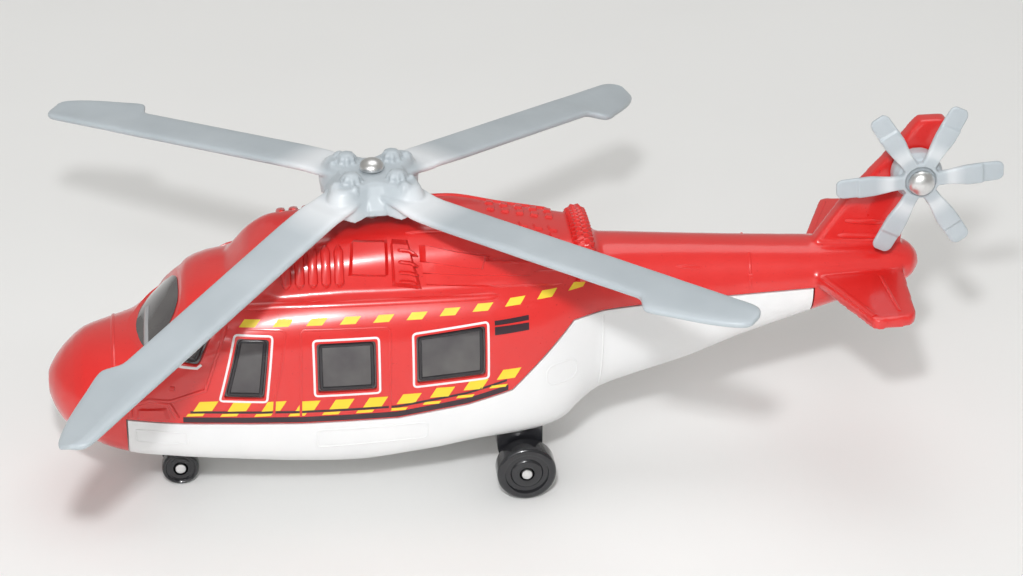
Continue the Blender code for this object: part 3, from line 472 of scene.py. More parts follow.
def cowl_mesh(name):
    bm = bmesh.new()
    rings = []
    for x in spread(COWL[0][0], COWL[-1][0], 0.8):
        half = cowl_half_section(x)
        rings.append([at(x, -y, z) for y, z in half] + [at(x, y, z) for y, z in reversed(half)])
    add_tube(bm, rings)
    return finish_mesh(bm, name)


def base_outline(gap):
    """What belongs to the plastic base, seen from the side; a gap draws it in."""
    f, r = BASE_FRONT_X - 0.3 + gap, BASE_REAR_X + 0.3 - gap
    return [(f, -5.0), (f, SILL_Z + 1.0 - gap), (-26.0, SILL_Z + 0.7 - gap),
            (-11.0, SILL_Z - gap), (2.0, SILL_Z - gap), (11.5, SILL_Z + 1.3 - gap),
            (17.6 + 0.4 * gap, SILL_Z + 2.9 - gap), (26.2 + 0.6 * gap, FLANK_Z - gap),
            (r, FLANK_Z + 0.4 - gap), (r, -5.0)]


WINDOWS = {
    "door": [(-19.1, 28.0), (-14.9, 27.8), (-15.9, 19.2), (-21.3, 19.6)],
    "middle": [(-8.7, 27.0), (-0.8, 27.0), (-0.8, 19.7), (-8.7, 19.7)],
    "rear": [(4.6, 27.2), (13.9, 28.0), (13.9, 20.7), (4.6, 20.2)],
    "quarter": [(-26.7, 28.6), (-22.6, 29.5), (-22.4, 28.4), (-24.4, 24.4), (-27.8, 24.7),
                (-27.6, 26.0)],
}
# the windscreen's opening, seen from the side; its front and top lie outside the hull
SCREEN = [(-40.0, 23.85), (-33.0, 23.9), (-31.0, 24.1), (-29.3, 24.6), (-28.2, 27.2), (-26.6, 29.5),
          (-25.8, 31.4), (-26.6, 40.0), (-40.0, 40.0)]

# ---- casting
# frame of the windscreen: station and how far it stands outside the hull
BROW = ((-26.5, -0.5), (-26.2, 0.15), (-25.6, 0.5), (-24.4, 0.6), (-22.6, 0.5), (-20.0, 0.0),
        (-18.0, -0.6))
FIN = [(TAIL_X - 15.0, TAIL_TOP_Z - 3.0), (TAIL_X - 14.8, TAIL_TOP_Z + 0.2), (TAIL_X - 10.8, 38.0),
       (FIN_REAR_X - 8.2, 44.4), (FIN_REAR_X - 4.6, FIN_TOP_Z - 0.5), (FIN_REAR_X - 4.0, FIN_TOP_Z),
       (FIN_REAR_X - 0.6, FIN_TOP_Z), (FIN_REAR_X, FIN_TOP_Z - 0.6), (FIN_REAR_X - 4.4, 38.5),
       (TAIL_X - 2.4, 34.5), (TAIL_X - 2.6, TAIL_TOP_Z - 3.0)]
# one half of the stabilisers, seen from above
STAB = [(TAIL_X - 15.6, TAIL_HALF - 1.2), (TAIL_X - 10.0, STAB_TIP_Y - 0.4),
        (TAIL_X - 9.2, STAB_TIP_Y), (TAIL_X - 4.6, STAB_TIP_Y - 0.6), (TAIL_X - 3.8, STAB_TIP_Y - 1.6),
        (TAIL_X - 2.6, TAIL_HALF - 2.4)]


def brow_mesh():
    """Raised hoop over the windscreen's rear edge; its crown lies further forward than its feet."""
    bm = bmesh.new()
    rings = []
    for x, grow in BROW:
        w, zb, zt, _, high = hermite(HULL, x)
        zc, h = 0.5 * (zb + zt), 0.5 * (zt - zb)
        ring = []
        for k in range(41):
            a = pi * (0.13 + 0.74 * k / 40.0)
            c, s = cos(a), sin(a)
            ring.append(at(x + 1.3 * (1.0 - s), (w + grow) * bent(c, 2.0 / high),
                           zc + (h + grow) * bent(s, 2.0 / high)))
        rings.append(ring + [at(x, -4.0, zc + 3.0), at(x, 4.0, zc + 3.0)])
    add_tube(bm, rings)
    return finish_mesh(bm, "brow")


def stab_mesh():
    bm = bmesh.new()
    outline = rounded(STAB + [(x, -y) for x, y in reversed(STAB)], 0.5)
    add_tube(bm, [[at(x, y, STAB_Z + dz) for x, y in outline] for dz in (-STAB_HALF, STAB_HALF)])
    return finish_mesh(bm, "stabilisers")


def screen_cutter():
    """The windscreen's opening, kept clear of the hull's core so that it cuts only the skin."""
    bm = bmesh.new()
    add_tube(bm, [[at(x, y, z) for x, z in SCREEN] for y in (-OUTSIDE, OUTSIDE)])
    keep = piece("screen_keep", bm)
    combine(keep, hull_mesh("screen_core", 1.4, 2.0, 48), "DIFFERENCE")
    mesh = keep.data
    bpy.data.objects.remove(keep, do_unlink=True)
    return mesh


casting = link("casting", hull_mesh("casting"))
casting.data = joined("casting", [casting.data, cowl_mesh("cowling"), brow_mesh(),
                                  prism("fin", rounded(FIN, 0.6), -FIN_HALF, FIN_HALF), stab_mesh()])
remesh(casting, 0.34, 5)

cutters = [prism("region", base_outline(0.0), -OUTSIDE, OUTSIDE)]
for shape in WINDOWS.values():
    for side in SIDES:
        cutters.append(prism("window", rounded(shape, 0.5), side * PANE_DEPTH, side * OUTSIDE))
cutters.append(screen_cutter())
combine(casting, joined("cutters", cutters), "DIFFERENCE")
dress(casting, RED, "fuselage", 35.0, ["body_casting"])

# ---- base
base = link("base", hull_mesh("base"))
combine(base, prism("base_keep", base_outline(BASE_GAP), -OUTSIDE, OUTSIDE), "INTERSECT")
dress(base, WHITE, "fuselage", 35.0, ["base_shell"])

# ---- glazing
glazing = link("glazing", hull_mesh("glazing", GLASS_INSET, 1.0, 96))
panes = bmesh.new()
for shape in WINDOWS.values():
    for side in SIDES:
        panes.from_mesh(prism("pane", rounded(grown(shape, -0.04), 0.45), side * (PANE_DEPTH + 0.1),
                              side * OUTSIDE))
# drawn in a little all round, so that its edge doesn't lie in the casting's
screen_panel = [(x + (0.05 if x < -30.0 else -0.08), z + 0.05) for x, z in SCREEN]
panes.from_mesh(prism("pane", screen_panel, -OUTSIDE, OUTSIDE))
combine(glazing, finish_mesh(panes, "panes"), "INTERSECT")
dress(glazing, SMOKE, "fuselage", 35.0, ["window_insert"])


def tree_of(*objects):
    """Ray tree over the meshes of some pieces."""
    verts, faces = [], []
    for ob in objects:
        start = len(verts)
        verts += [v.co.copy() for v in ob.data.vertices]
        faces += [[start + i for i in p.vertices] for p in ob.data.polygons]
    return BVHTree.FromPolygons(verts, faces)


SKIN = tree_of(casting, base, glazing)
GLASS = tree_of(glazing)


def looker(tree, start, direction):
    """Maps two coordinates to the surface point and normal that a ray meets, or to None."""
    def look(a, b):
        hit, nrm, _, _ = tree.ray_cast(start(a, b), Vector(direction))
        return (hit, nrm) if hit is not None else None
    return look


def from_side(tree, side):
    """Looks in from one side; the coordinates are x and z."""
    return looker(tree, lambda x, z: at(x, side * 40.0, z), (0.0, -side, 0.0))


def from_above(tree):
    """Looks down; the coordinates are x and y."""
    return looker(tree, lambda x, y: at(x, y, 80.0), (0.0, 0.0, -1.0))


# sections of a strip: across in widths, up in heights; -1 is the foot, sunk in the surface
BEAD = [(-0.5, -1.0), (-0.5, 0.35), (-0.3, 0.85), (0.0, 1.0), (0.3, 0.85), (0.5, 0.35), (0.5, -1.0)]
FLAT = [(-0.5, -1.0), (-0.5, 0.8), (-0.44, 1.0), (0.44, 1.0), (0.5, 0.8), (0.5, -1.0)]
LOUVRE = [(-0.5, -1.0), (-0.5, 0.5), (-0.38, 0.85), (-0.15, 1.0), (0.15, 1.0), (0.38, 0.85),
          (0.5, 0.5), (0.5, -1.0)]


def strip(bm, look, path, width, height, section=BEAD, closed=False, step=0.45, taper=False):
    """A raised line laid along a path on a surface; its foot is sunk in the surface."""
    dense = []
    ends = path + [path[0]] if closed else path
    for (a0, b0), (a1, b1) in zip(ends, ends[1:]):
        n = max(1, int(hypot(a1 - a0, b1 - b0) / step))
        dense += [(lerp(a0, a1, k / n), lerp(b0, b1, k / n)) for k in range(n)]
    if not closed:
        dense.append(path[-1])
    hits = [h for h in (look(a, b) for a, b in dense) if h is not None]
    if len(hits) < 2:
        return
    rings = []
    n = len(hits)
    for i, (p, nrm) in enumerate(hits):
        before = hits[i - 1][0] if (i > 0 or closed) else p
        after = hits[(i + 1) % n][0] if (i < n - 1 or closed) else p
        t = (after - before).normalized()
        across = nrm.cross(t).normalized()
        size = 1.0
        if taper and not closed:
            size = min(1.0, 0.35 + 0.65 * min(i, n - 1 - i) / 2.0)
        rings.append([p + across * (u * width * size * MM)
                      + nrm * ((v * height * size if v > 0 else 0.25 * v) * MM) for u, v in section])
    add_tube(bm, rings, closed)


def patch(bm, look, corner, nu, nv, lift, edge=0.0):
    """A thin raised sheet; corner(u, v) gives its place on the surface for u, v in 0..1.

    With an edge, given as a share of each side, the face slopes down to the surface all round.
    """
    us, vs = ([i / n for i in range(n + 1)] for n in (nu, nv))
    if edge:
        us, vs = ([0.0] + [lerp(edge, 1.0 - edge, t) for t in row] + [1.0] for row in (us, vs))
    rows, w = len(us) - 1, len(vs)
    top, low = [], []
    for i, u in enumerate(us):
        for j, v in enumerate(vs):
            hit = look(*corner(u, v))
            if hit is None:
                return
            p, nrm = hit
            rim = edge and (i in (0, rows) or j in (0, w - 1))
            top.append(bm.verts.new(p + nrm * ((-0.02 if rim else lift) * MM)))
            low.append(bm.verts.new(p - nrm * (0.12 * MM)))
    for i in range(rows):
        for j in range(w - 1):
            k = i * w + j
            bm.faces.new((top[k], top[k + w], top[k + w + 1], top[k + 1]))
            bm.faces.new((low[k], low[k + 1], low[k + w + 1], low[k + w]))
    rim = [i * w for i in range(rows + 1)] + [rows * w + j for j in range(1, w)]
    rim += [i * w + w - 1 for i in range(rows - 1, -1, -1)] + [j for j in range(w - 2, 0, -1)]
    for a, b in zip(rim, rim[1:] + rim[:1]):
        bm.faces.new((top[a], top[b], low[b], low[a]))


def quad(a, b, c, d):
    """Bilinear corner function: a and b are the lower corners, c and d the upper ones."""
    def corner(u, v):
        low = [lerp(a[k], b[k], u) for k in (0, 1)]
        up = [lerp(d[k], c[k], u) for k in (0, 1)]
        return lerp(low[0], up[0], v), lerp(low[1], up[1], v)
    return corner


def details(name, mat, build):
    """One piece of the fuselage made of many small raised shapes."""
    bm = bmesh.new()
    build(bm)
    dress(piece(name, bm), mat, "fuselage", 28.0)


# ---- raised lines of the casting
def casting_lines(bm):
    """Creases, door outlines, joints and ribs of the casting."""
    for side in SIDES:
        look = from_side(SKIN, side)
        # crease and chin block beside the nose
        strip(bm, look, [(-33.6, 18.2), (-31.0, 19.3), (-28.4, 19.3), (-25.7, 20.3), (-23.6, 21.0),
                         (-22.0, 25.6), (-20.5, 29.3)], 0.5, 0.22)
        strip(bm, look, [(-33.8, 16.5), (-33.7, 18.2), (-31.0, 19.2), (-28.5, 18.9), (-27.5, 16.7)],
              0.6, 0.3)
        patch(bm, look, quad((-33.0, 16.4), (-28.4, 16.4), (-28.9, 18.3), (-32.8, 17.9)),
              10, 5, 0.35, 0.12)
        # outlines of the two doors
        strip(bm, look, [(-17.6, 29.1), (-13.2, 28.9), (-12.7, 28.5), (-13.5, 24.0), (-14.5, 19.0),
                         (-14.7, 16.6)], 0.35, 0.12)
        strip(bm, look, [(-11.1, 16.2), (-10.7, 28.4), (-10.3, 28.8), (0.8, 28.6), (1.2, 28.2),
                         (0.9, 16.4)], 0.35, 0.12)
        # boom joint, boom mark and the ribs of the fin
        strip(bm, look, [(51.2, 27.6), (51.2, 30.0), (51.3, 31.8)], 0.35, 0.12)
        for ends, width, height in (([(41.0, 31.2), (44.5, 30.8)], 0.5, 0.12),
                                    ([(63.9, 32.9), (71.0, 32.3)], 0.8, 0.3),
                                    ([(64.8, 35.1), (70.2, 34.6)], 0.8, 0.3)):
            strip(bm, look, ends, width, height, taper=True)
        for x, z in ((51.2, 29.3), (-28.0, 21.2)):
            strip(bm, look, [(x - 0.3, z), (x + 0.3, z)], 0.6, 0.2, step=0.15)
    # line across the nose and ribs of the stabilisers
    look = from_above(SKIN)
    strip(bm, look, [(-35.7, y) for y in spread(-7.6, 7.6, 0.8)], 0.55, 0.16)
    for side in SIDES:
        strip(bm, look, [(TAIL_X - 14.2, side * 5.6), (TAIL_X - 9.6, side * 16.6)], 0.9, 0.13)
        strip(bm, look, [(TAIL_X - 6.4, side * 6.0), (TAIL_X - 6.0, side * 15.6)], 0.45, 0.12)


# stepped ridges behind the scoop: foot, top, front, rear, how proud
COWL_STEPS = ((32.9, 35.2, 6.2, 25.0, 0.3), (34.4, 36.6, 5.9, 21.5, 0.5), (35.9, 37.9, 5.6, 14.5, 0.7))


def cowling_details(bm):
    """Louvres, panel, scoop, stepped ridges and rear vents of the engine cowling."""
    for side in SIDES:
        look = from_side(SKIN, side)
        for k in range(5):
            x = -12.2 + 1.75 * k
            strip(bm, look, [(x, 33.2), (x + 0.1, 37.9)], 1.3, 0.65, LOUVRE, step=0.3, taper=True)
        patch(bm, look, quad((-4.0, 34.6), (1.4, 34.2), (1.5, 38.4), (-3.4, 38.4)),
              16, 14, 0.6, 0.09)
        patch(bm, look, quad((1.8, 33.0), (5.8, 32.4), (4.2, 38.3), (1.8, 38.5)),
              10, 16, 0.8, 0.12)
        for k in range(4):
            z = 33.5 + 1.15 * k
            strip(bm, look, [(2.4, z + 0.3), (4.2, z + 0.1), (5.4, z - 0.4)], 0.6, 1.25, LOUVRE,
                  taper=True, step=0.3)
        for low, high, start, end, lift in COWL_STEPS:
            patch(bm, look, quad((start, low), (end, low - 1.6), (end + 0.6, high - 2.0),
                                 (start, high)), 30, 6, lift, 0.09)
        strip(bm, look, [(-20.5, 31.2), (-14.0, 31.5), (-4.0, 31.5), (8.0, 31.4), (16.0, 31.3)],
              1.0, 0.2, taper=True)
    look = from_above(SKIN)
    for side in SIDES:
        for k in range(5):
            x = 15.5 + 2.0 * k
            for y in (1.2, 3.1):
                patch(bm, look, quad((x, side * y), (x + 1.2, side * y), (x + 1.4, side * (y + 1.3)),
                                     (x + 0.2, side * (y + 1.3))), 3, 3, 0.3, 0.15)
        strip(bm, look, [(4.0, side * 5.0), (14.0, side * 5.1), (24.8, side * 4.8)],
              0.5, 0.35, taper=True)


details("casting_lines", RED, casting_lines)
details("cowling_details", RED, cowling_details)


def exhaust_ring(bm):
    """Knurled collar round the rear end of the cowling."""
    x, fat, knurls, round_it = 28.1, 1.45, 22, 20
    half = [p for p in cowl_half_section(x) if p[1] > 31.0]
    path = [(-y, z) for y, z in half] + [(y, z) for y, z in reversed(half)]
    lengths = [0.0]
    for (y0, z0), (y1, z1) in zip(path, path[1:]):
        lengths.append(lengths[-1] + hypot(y1 - y0, z1 - z0))
    rings = []
    count = knurls * 6
    for k in range(count + 1):
        s = lengths[-1] * k / count
        i = min(len(path) - 2, max(j for j, q in enumerate(lengths) if q <= s + 1e-9))
        t = (s - lengths[i]) / max(1e-6, lengths[i + 1] - lengths[i])
        y, z = (lerp(path[i][c], path[i + 1][c], t) for c in (0, 1))
        out = Vector((0.0, y, z - 29.0)).normalized()
        ring = []
        for q in range(round_it):
            a = 2.0 * pi * q / round_it
            r = fat + 0.22 * cos(2.0 * pi * k / 6.0) * cos(5.0 * a)
            ring.append(at(x + r * cos(a), y, z) + out * (r * sin(a) * MM))
        rings.append(ring)
    add_tube(bm, rings)


details("exhaust_ring", RED, exhaust_ring)


# ---- printed markings
def sill_z(x):
    """Height of the joint between casting and base along the cabin."""
    pts = base_outline(0.0)[1:8]
    for (x0, z0), (x1, z1) in zip(pts, pts[1:]):
        if x0 <= x <= x1:
            return lerp(z0, z1, (x - x0) / (x1 - x0))
    return pts[-1][1]


UPPER_DASHES = 11
LOWER_DASHES = 10


def upper_dash_z(x):
    """Foot of the upper row of dashes, which rises towards the tail."""
    return 29.3 + 1.2 * (max(0.0, x - 2.0) / 24.0)


def dash(bm, look, x, z, width, lean, height, nu, nv):
    """A printed dash that leans towards the tail."""
    x1, z1 = x + width, z + height
    patch(bm, look, quad((x, z), (x1, z), (x1 + lean, z1), (x + lean, z1)), nu, nv, PRINT_LIFT)


def yellow_print(bm):
    for side in SIDES:
        look = from_side(SKIN, side)
        for k in range(UPPER_DASHES):
            x = lerp(-18.8, 25.6, k / (UPPER_DASHES - 1))
            dash(bm, look, x, upper_dash_z(x), 2.1, 0.8, 0.85, 6, 3)
        for k in range(LOWER_DASHES):
            x = lerp(-25.4, 15.4, k / (LOWER_DASHES - 1))
            dash(bm, look, x, sill_z(x + 1.5) + 1.95, 2.5, 0.9, 1.45, 6, 4)
            dash(bm, look, x - 1.0, sill_z(x) + 1.12, 2.2, 0.3, 0.4, 6, 2)


def black_print(bm):
    for side in SIDES:
        look = from_side(SKIN, side)

        def line(x0, x1, low, high):
            def corner(u, v):
                x = lerp(x0, x1, u)
                return x, sill_z(x) + lerp(low, high, v)
            return corner
        patch(bm, look, line(-26.8, 17.0, 0.12, 0.95), 60, 3, PRINT_LIFT)
        patch(bm, look, line(-25.8, 16.8, 1.58, 1.92), 60, 2, PRINT_LIFT)
        for corners in (((15.2, 27.9), (19.9, 28.0), (19.9, 28.65), (15.2, 28.5)),
                        ((15.2, 26.6), (19.9, 26.7), (19.9, 27.7), (15.2, 27.7))):
            patch(bm, look, quad(*corners), 8, 3, PRINT_LIFT)


def white_print(bm):
    for side in SIDES:
        look = from_side(SKIN, side)
        for key in ("door", "middle", "rear"):
            strip(bm, look, rounded(grown(WINDOWS[key], 0.42), 0.5), 0.3, 0.035, FLAT, closed=True)
        strip(bm, look, [(-28.6, 24.6), (-26.8, 24.2), (-24.6, 24.1), (-24.0, 24.6)], 0.35, 0.05, FLAT)


details("yellow_print", YELLOW, yellow_print)
details("black_print", BLACK_PRINT, black_print)
details("white_print", WHITE_PRINT, white_print)


# ---- glazing rims and pillar
def glass_rims(bm):
    for side in SIDES:
        look = from_side(GLASS, side)
        for shape in WINDOWS.values():
            strip(bm, look, rounded(grown(shape, -0.5), 0.35), 0.5, 0.22, closed=True)


def screen_pillar(bm):
    """Pale bar across the foot of the windscreen."""
    look = from_above(GLASS)
    strip(bm, look, [(-31.2, -6.6), (-31.1, -2.0), (-30.9, 2.2)], 0.9, 0.2)


details("glass_rims", SMOKE_RIM, glass_rims)
details("screen_pillar", SMOKE_LIGHT, screen_pillar)


# ---- faint panels of the base
# outline and corner radius of each raised frame
BASE_FRAMES = (([(-33.2, 14.6), (-26.4, 14.4), (-26.4, 12.4), (-33.2, 12.6)], 0.4),
               ([(-9.0, 13.8), (6.0, 14.0), (6.0, 11.4), (-9.0, 11.0)], 0.6),
               ([(22.4, 20.6), (26.8, 20.8), (26.8, 17.6), (22.4, 17.4)], 1.4))


def base_panels(bm):
    for side in SIDES:
        look = from_side(SKIN, side)
        strip(bm, look, [(30.6, 25.9), (30.6, 20.0), (30.4, 14.2)], 0.3, 0.09)
        for outline, r in BASE_FRAMES:
            strip(bm, look, rounded(outline, r), 0.3, 0.08, closed=True)


details("base_panels", WHITE, base_panels)


# ---- turned pieces
def lathe(name, profile, centre, axis, segments=64):
    """Solid of revolution round Z or Y; profile points are (radius, distance along the axis)."""
    bm = bmesh.new()
    rings = []
    for r, h in profile:
        r = max(r, 0.02)
        ring = []
        for k in range(segments):
            a = 2.0 * pi * k / segments
            c, s = r * cos(a) * MM, r * sin(a) * MM
            ring.append(centre + (Vector((c, s, h * MM)) if axis == "Z" else Vector((c, h * MM, s))))
        rings.append(ring)
    add_tube(bm, rings)
    return finish_mesh(bm, name)


def arc(cr, ch, r, a0, a1, n=6, squash=1.0):
    """Part of a circle in a profile, in degrees."""
    return [(cr + r * cos(radians(lerp(a0, a1, i / n))),
             ch + squash * r * sin(radians(lerp(a0, a1, i / n)))) for i in range(n + 1)]


def steel(name, mesh, node):
    """A steel pin or rivet of the fuselage, shown in place of its CAD node."""
    dress(link(name, mesh), STEEL, "fuselage", 40.0, [node])


def dome_rivet(name, node, axis, outward, wide, deep, raised=0.0):
    """Bright domed rivet head over the CAD one: wider, deep from top to seat, on its shank."""
    low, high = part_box(node)
    mid = (low + high) * 0.5
    radius = (high.x - low.x) * 0.5 / MM + wide
    if axis == "Z":
        top, end, centre = high.z / MM, low.z / MM, Vector((mid.x, mid.y, 0.0))
    else:
        top, end = outward * low.y / MM, outward * high.y / MM
        centre = Vector((mid.x, 0.0, mid.z))
    top += raised
    seat = top - deep
    shank, flange = 0.9, 0.25
    profile = [(0.0, top)] + arc(0.0, seat + flange, radius, 84, 0, 9, (deep - flange) / radius)
    profile += [(radius - 0.1, seat), (shank, seat), (shank, end), (0.0, end)]
    if axis == "Y":
        profile = [(r, outward * h) for r, h in profile]
    steel(name, lathe(name, profile, centre, axis, 48), node)


dome_rivet("main_rivet_head", "main_rotor_rivet", "Z", 1, 0.18, 1.35, 0.85)
dome_rivet("tail_rivet_head", "tail_rotor_rivet", "Y", -1, 0.32, 1.55)


def wheel(name, node, body):
    """Moulded wheel: round shoulders, a dished outer face with a ring and a raised hub."""
    low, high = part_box(node)
    centre = Vector(((low.x + high.x) * 0.5, 0.0, (low.z + high.z) * 0.5))
    side = -1 if low.y + high.y < 0.0 else 1
    radius = (high.z - low.z) * 0.5 / MM
    inner, outer = sorted((abs(low.y) / MM, abs(high.y) / MM))
    e = 0.1 * (outer - inner) + 0.08    # radius of the inner shoulder
    bore = 1.05                         # clear of the axle
    dish, ring = lerp(bore, radius, 0.62), lerp(bore, radius, 0.30)
    depth = 0.13 * (outer - inner)
    profile = [(bore, inner), (radius - e, inner)] + arc(radius - e, inner + e, e, -70, 0, 4)
    profile += arc(radius - 1.5 * e, outer - 1.5 * e, 1.5 * e, 0, 80, 6)
    profile += [(dish + 0.25, outer), (dish + 0.08, outer - 0.08), (dish, outer - depth),
                (ring + 0.3, outer - depth), (ring + 0.12, outer - 0.5 * depth),
                (ring, outer - 0.3 * depth), (bore, outer - 0.3 * depth)]
    bm = bmesh.new()
    segments = 72
    rows = []
    for k in range(segments):
        a = 2.0 * pi * k / segments
        rows.append([centre + Vector((r * cos(a) * MM, side * h * MM, r * sin(a) * MM))
                     for r, h in profile])
    add_tube(bm, rows, closed=True)
    dress(piece(name, bm), BLACK, body, 45.0, [node])


for node in ("main_wheel_port", "main_wheel_starboard", "nose_wheel_port", "nose_wheel_starboard"):
    wheel(node.replace("wheel", "tyre"), node, node)


AXLE_R = 0.8


def axle(name, node):
    """Steel pin with its two ends spun over into low domes."""
    low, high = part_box(node)
    centre = Vector(((low.x + high.x) * 0.5, 0.0, (low.z + high.z) * 0.5))
    end = high.y / MM
    r = AXLE_R
    head = [(0.0, end), (0.45, end - 0.03), (r - 0.1, end - 0.12), (r, end - 0.3)]
    profile = head + [(a, -h) for a, h in reversed(head)]
    steel(name, lathe(name, profile, centre, "Y", 40), node)


axle("main_axle_pin", "main_axle")
axle("nose_axle_pin", "nose_axle")
for node in ("main_gear_beam", "nose_gear_leg"):
    slots = frame["nodes"][node].data.materials
    slots.clear()
    slots.append(BLACK)


def strut_details(bm):
    """Raised block and braces on the outer faces of the main legs."""
    low, high = box_mm("main_gear_beam")
    mid = 0.5 * (low[0] + high[0])
    for side in SIDES:
        y0, y1 = side * (high[1] - 0.2), side * (high[1] + 0.22)
        for x0, x1, z0, z1 in ((low[0] + 0.6, high[0] - 0.6, 5.6, 6.3),
                               (mid - 2.2, mid - 1.5, 5.0, 7.4), (mid + 1.2, mid + 1.9, 5.0, 7.4)):
            add_tube(bm, [[at(x0, y, z0), at(x1, y, z0), at(x1, y, z1), at(x0, y, z1)]
                          for y in (y0, y1)])


details("strut_details", BLACK, strut_details)


def post_heads(bm):
    """Spun-over ends of the casting's two posts under the base."""
    for x in (-15.0, 9.0):
        foot = hermite(HULL, x)[1] - 0.3
        profile = [(0.0, foot - 0.8), (1.7, foot - 0.8), (2.3, foot - 0.6), (2.6, foot - 0.1),
                   (2.6, foot + 0.5), (0.0, foot + 0.5)]
        bm.from_mesh(lathe("post", profile, at(x, 0.0, 0.0), "Z", 40))


details("post_heads", STEEL, post_heads)


# ---- main rotor
ROTOR = frame["nodes"]["main_rotor"].data
HUB_FOOT_Z = 42.7
HUB_DECK_Z = HUB_FOOT_Z + 3.3
HUB_R = 6.4
ROTOR_R = 59.95
ROTOR_PHASE = 2.0       # degrees that the blades stand off the diagonals
# distance out, leading edge, trailing edge, half thickness, droop of the trailing edge
BLADE = [
    (2.6, -2.5, 3.7, 0.60, 0.0), (6.0, -2.7, 3.3, 0.60, 0.0), (9.0, -2.5, 3.6, 0.60, 0.0),
    (16.0, -2.5, 3.9, 0.58, 0.0), (44.6, -2.5, 3.9, 0.58, 0.0), (45.4, -2.5, 4.1, 0.58, 0.1),
    (47.4, -2.5, 6.0, 0.57, 0.6), (51.0, -2.5, 5.15, 0.56, 0.8), (54.5, -2.5, 4.2, 0.56, 0.95),
    (57.2, -2.5, 3.2, 0.54, 1.05), (58.6, -2.3, 2.5, 0.50, 1.1), (59.4, -1.7, 2.0, 0.44, 1.1),
    (ROTOR_R, -0.6, 1.2, 0.32, 1.0),
]
# how each soft blade is set: its tip's and its root's height over the CAD's, its share of the
# droop, and how much longer it is than the CAD's
BLADE_SET = ((0.4, 0.5, 0.9, 0.0), (0.3, 0.8, -0.4, -0.9), (0.25, 0.0, 0.8, 0.0),
             (0.9, 0.0, 0.3, 0.8))


def tip_height(angle):
    """Height of a CAD blade's middle near its tip, in millimetres."""
    zs = []
    for v in ROTOR.vertices:
        d = Vector((v.co.x - HUB.x, v.co.y - HUB.y))
        off = (degrees(atan2(d.y, d.x)) - angle + 180.0) % 360.0 - 180.0
        if d.length > 58.5 * MM and abs(off) < 8.0:
            zs.append(v.co.z / MM)
    return 0.5 * (min(zs) + max(zs))


def blade_z(s, tip, raised):
    """Height of a blade's middle: a short drop at the hub, then a long lean to its tip."""
    root, knee = HUB_FOOT_Z + 1.6 + 0.6 * raised, HUB_FOOT_Z + 0.6 + raised
    if s < HUB_R + 4.0:
        t = max(0.0, (s - 3.0) / (HUB_R + 1.0))
        return lerp(root, knee, t * t * (3 - 2 * t))
    return lerp(knee, tip, (s - HUB_R - 4.0) / (ROTOR_R - HUB_R - 4.0))


def rotor_blade(bm, angle, tip, raised, twist, longer):
    """A thin, wide blade; its section is an oblong with soft corners, twisted at the paddle."""
    ca, sa = cos(radians(angle)), sin(radians(angle))
    stations = spread(2.6, 44.0, 1.1) + spread(44.5, 57.5, 0.5) + spread(57.8, ROTOR_R, 0.25)
    rings = []
    for s in stations:
        lead, trail, h, droop = hermite(BLADE, s)
        z = blade_z(s, tip, raised)
        reach = s + longer * s / ROTOR_R
        wide = trail - lead
        ring = []
        for q in range(20):
            a = 2.0 * pi * (q + 0.5) / 20
            u, v = 0.5 + 0.5 * bent(cos(a), 0.35), bent(sin(a), 0.6)
            t = lead + wide * u
            drop = twist * droop * max(0.0, (u - 0.3) / 0.7)
            ring.append(at(reach * ca + t * sa, reach * sa - t * ca, z + h * v - drop))
        rings.append(ring)
    add_tube(bm, rings)


def lobed(bm, s, angle, radius, z0, z1, lobes, depth):
    """Knuckle with grooved sides and a domed top, standing on the hub."""
    cx, cy = s * cos(radians(angle)), s * sin(radians(angle))
    rings = []
    for t, scale in ((0.0, 1.0), (0.45, 1.0), (0.7, 0.9), (0.88, 0.68), (0.97, 0.4), (1.0, 0.1)):
        ring = []
        for k in range(48):
            a = 2.0 * pi * k / 48
            r = radius * scale * (1.0 - depth * (0.5 - 0.5 * cos(lobes * a)) * (1.0 - 0.6 * t))
            ring.append(at(cx + r * cos(a), cy + r * sin(a), lerp(z0, z1, t)))
        rings.append(ring)
    add_tube(bm, rings)


def hub_section(level, between, corner):
    """Ring of the hub: narrow between the blades and reaching out along them."""
    ring = []
    for k in range(96):
        a = 2.0 * pi * k / 96
        off = degrees(a) - 45.0 - ROTOR_PHASE
        near = (0.5 + 0.5 * cos(radians(4.0 * off))) ** 1.3
        r = lerp(between, corner, near)
        aside = abs((off + 90.0) % 90.0 - 45.0)
        z = level
        if level < HUB_FOOT_Z:      # the skirt hangs lower to each side of a blade
            z -= 0.65 * exp(-((aside - 25.0) / 8.0) ** 2)
        ring.append(at(r * cos(a), r * sin(a), z))
    return ring


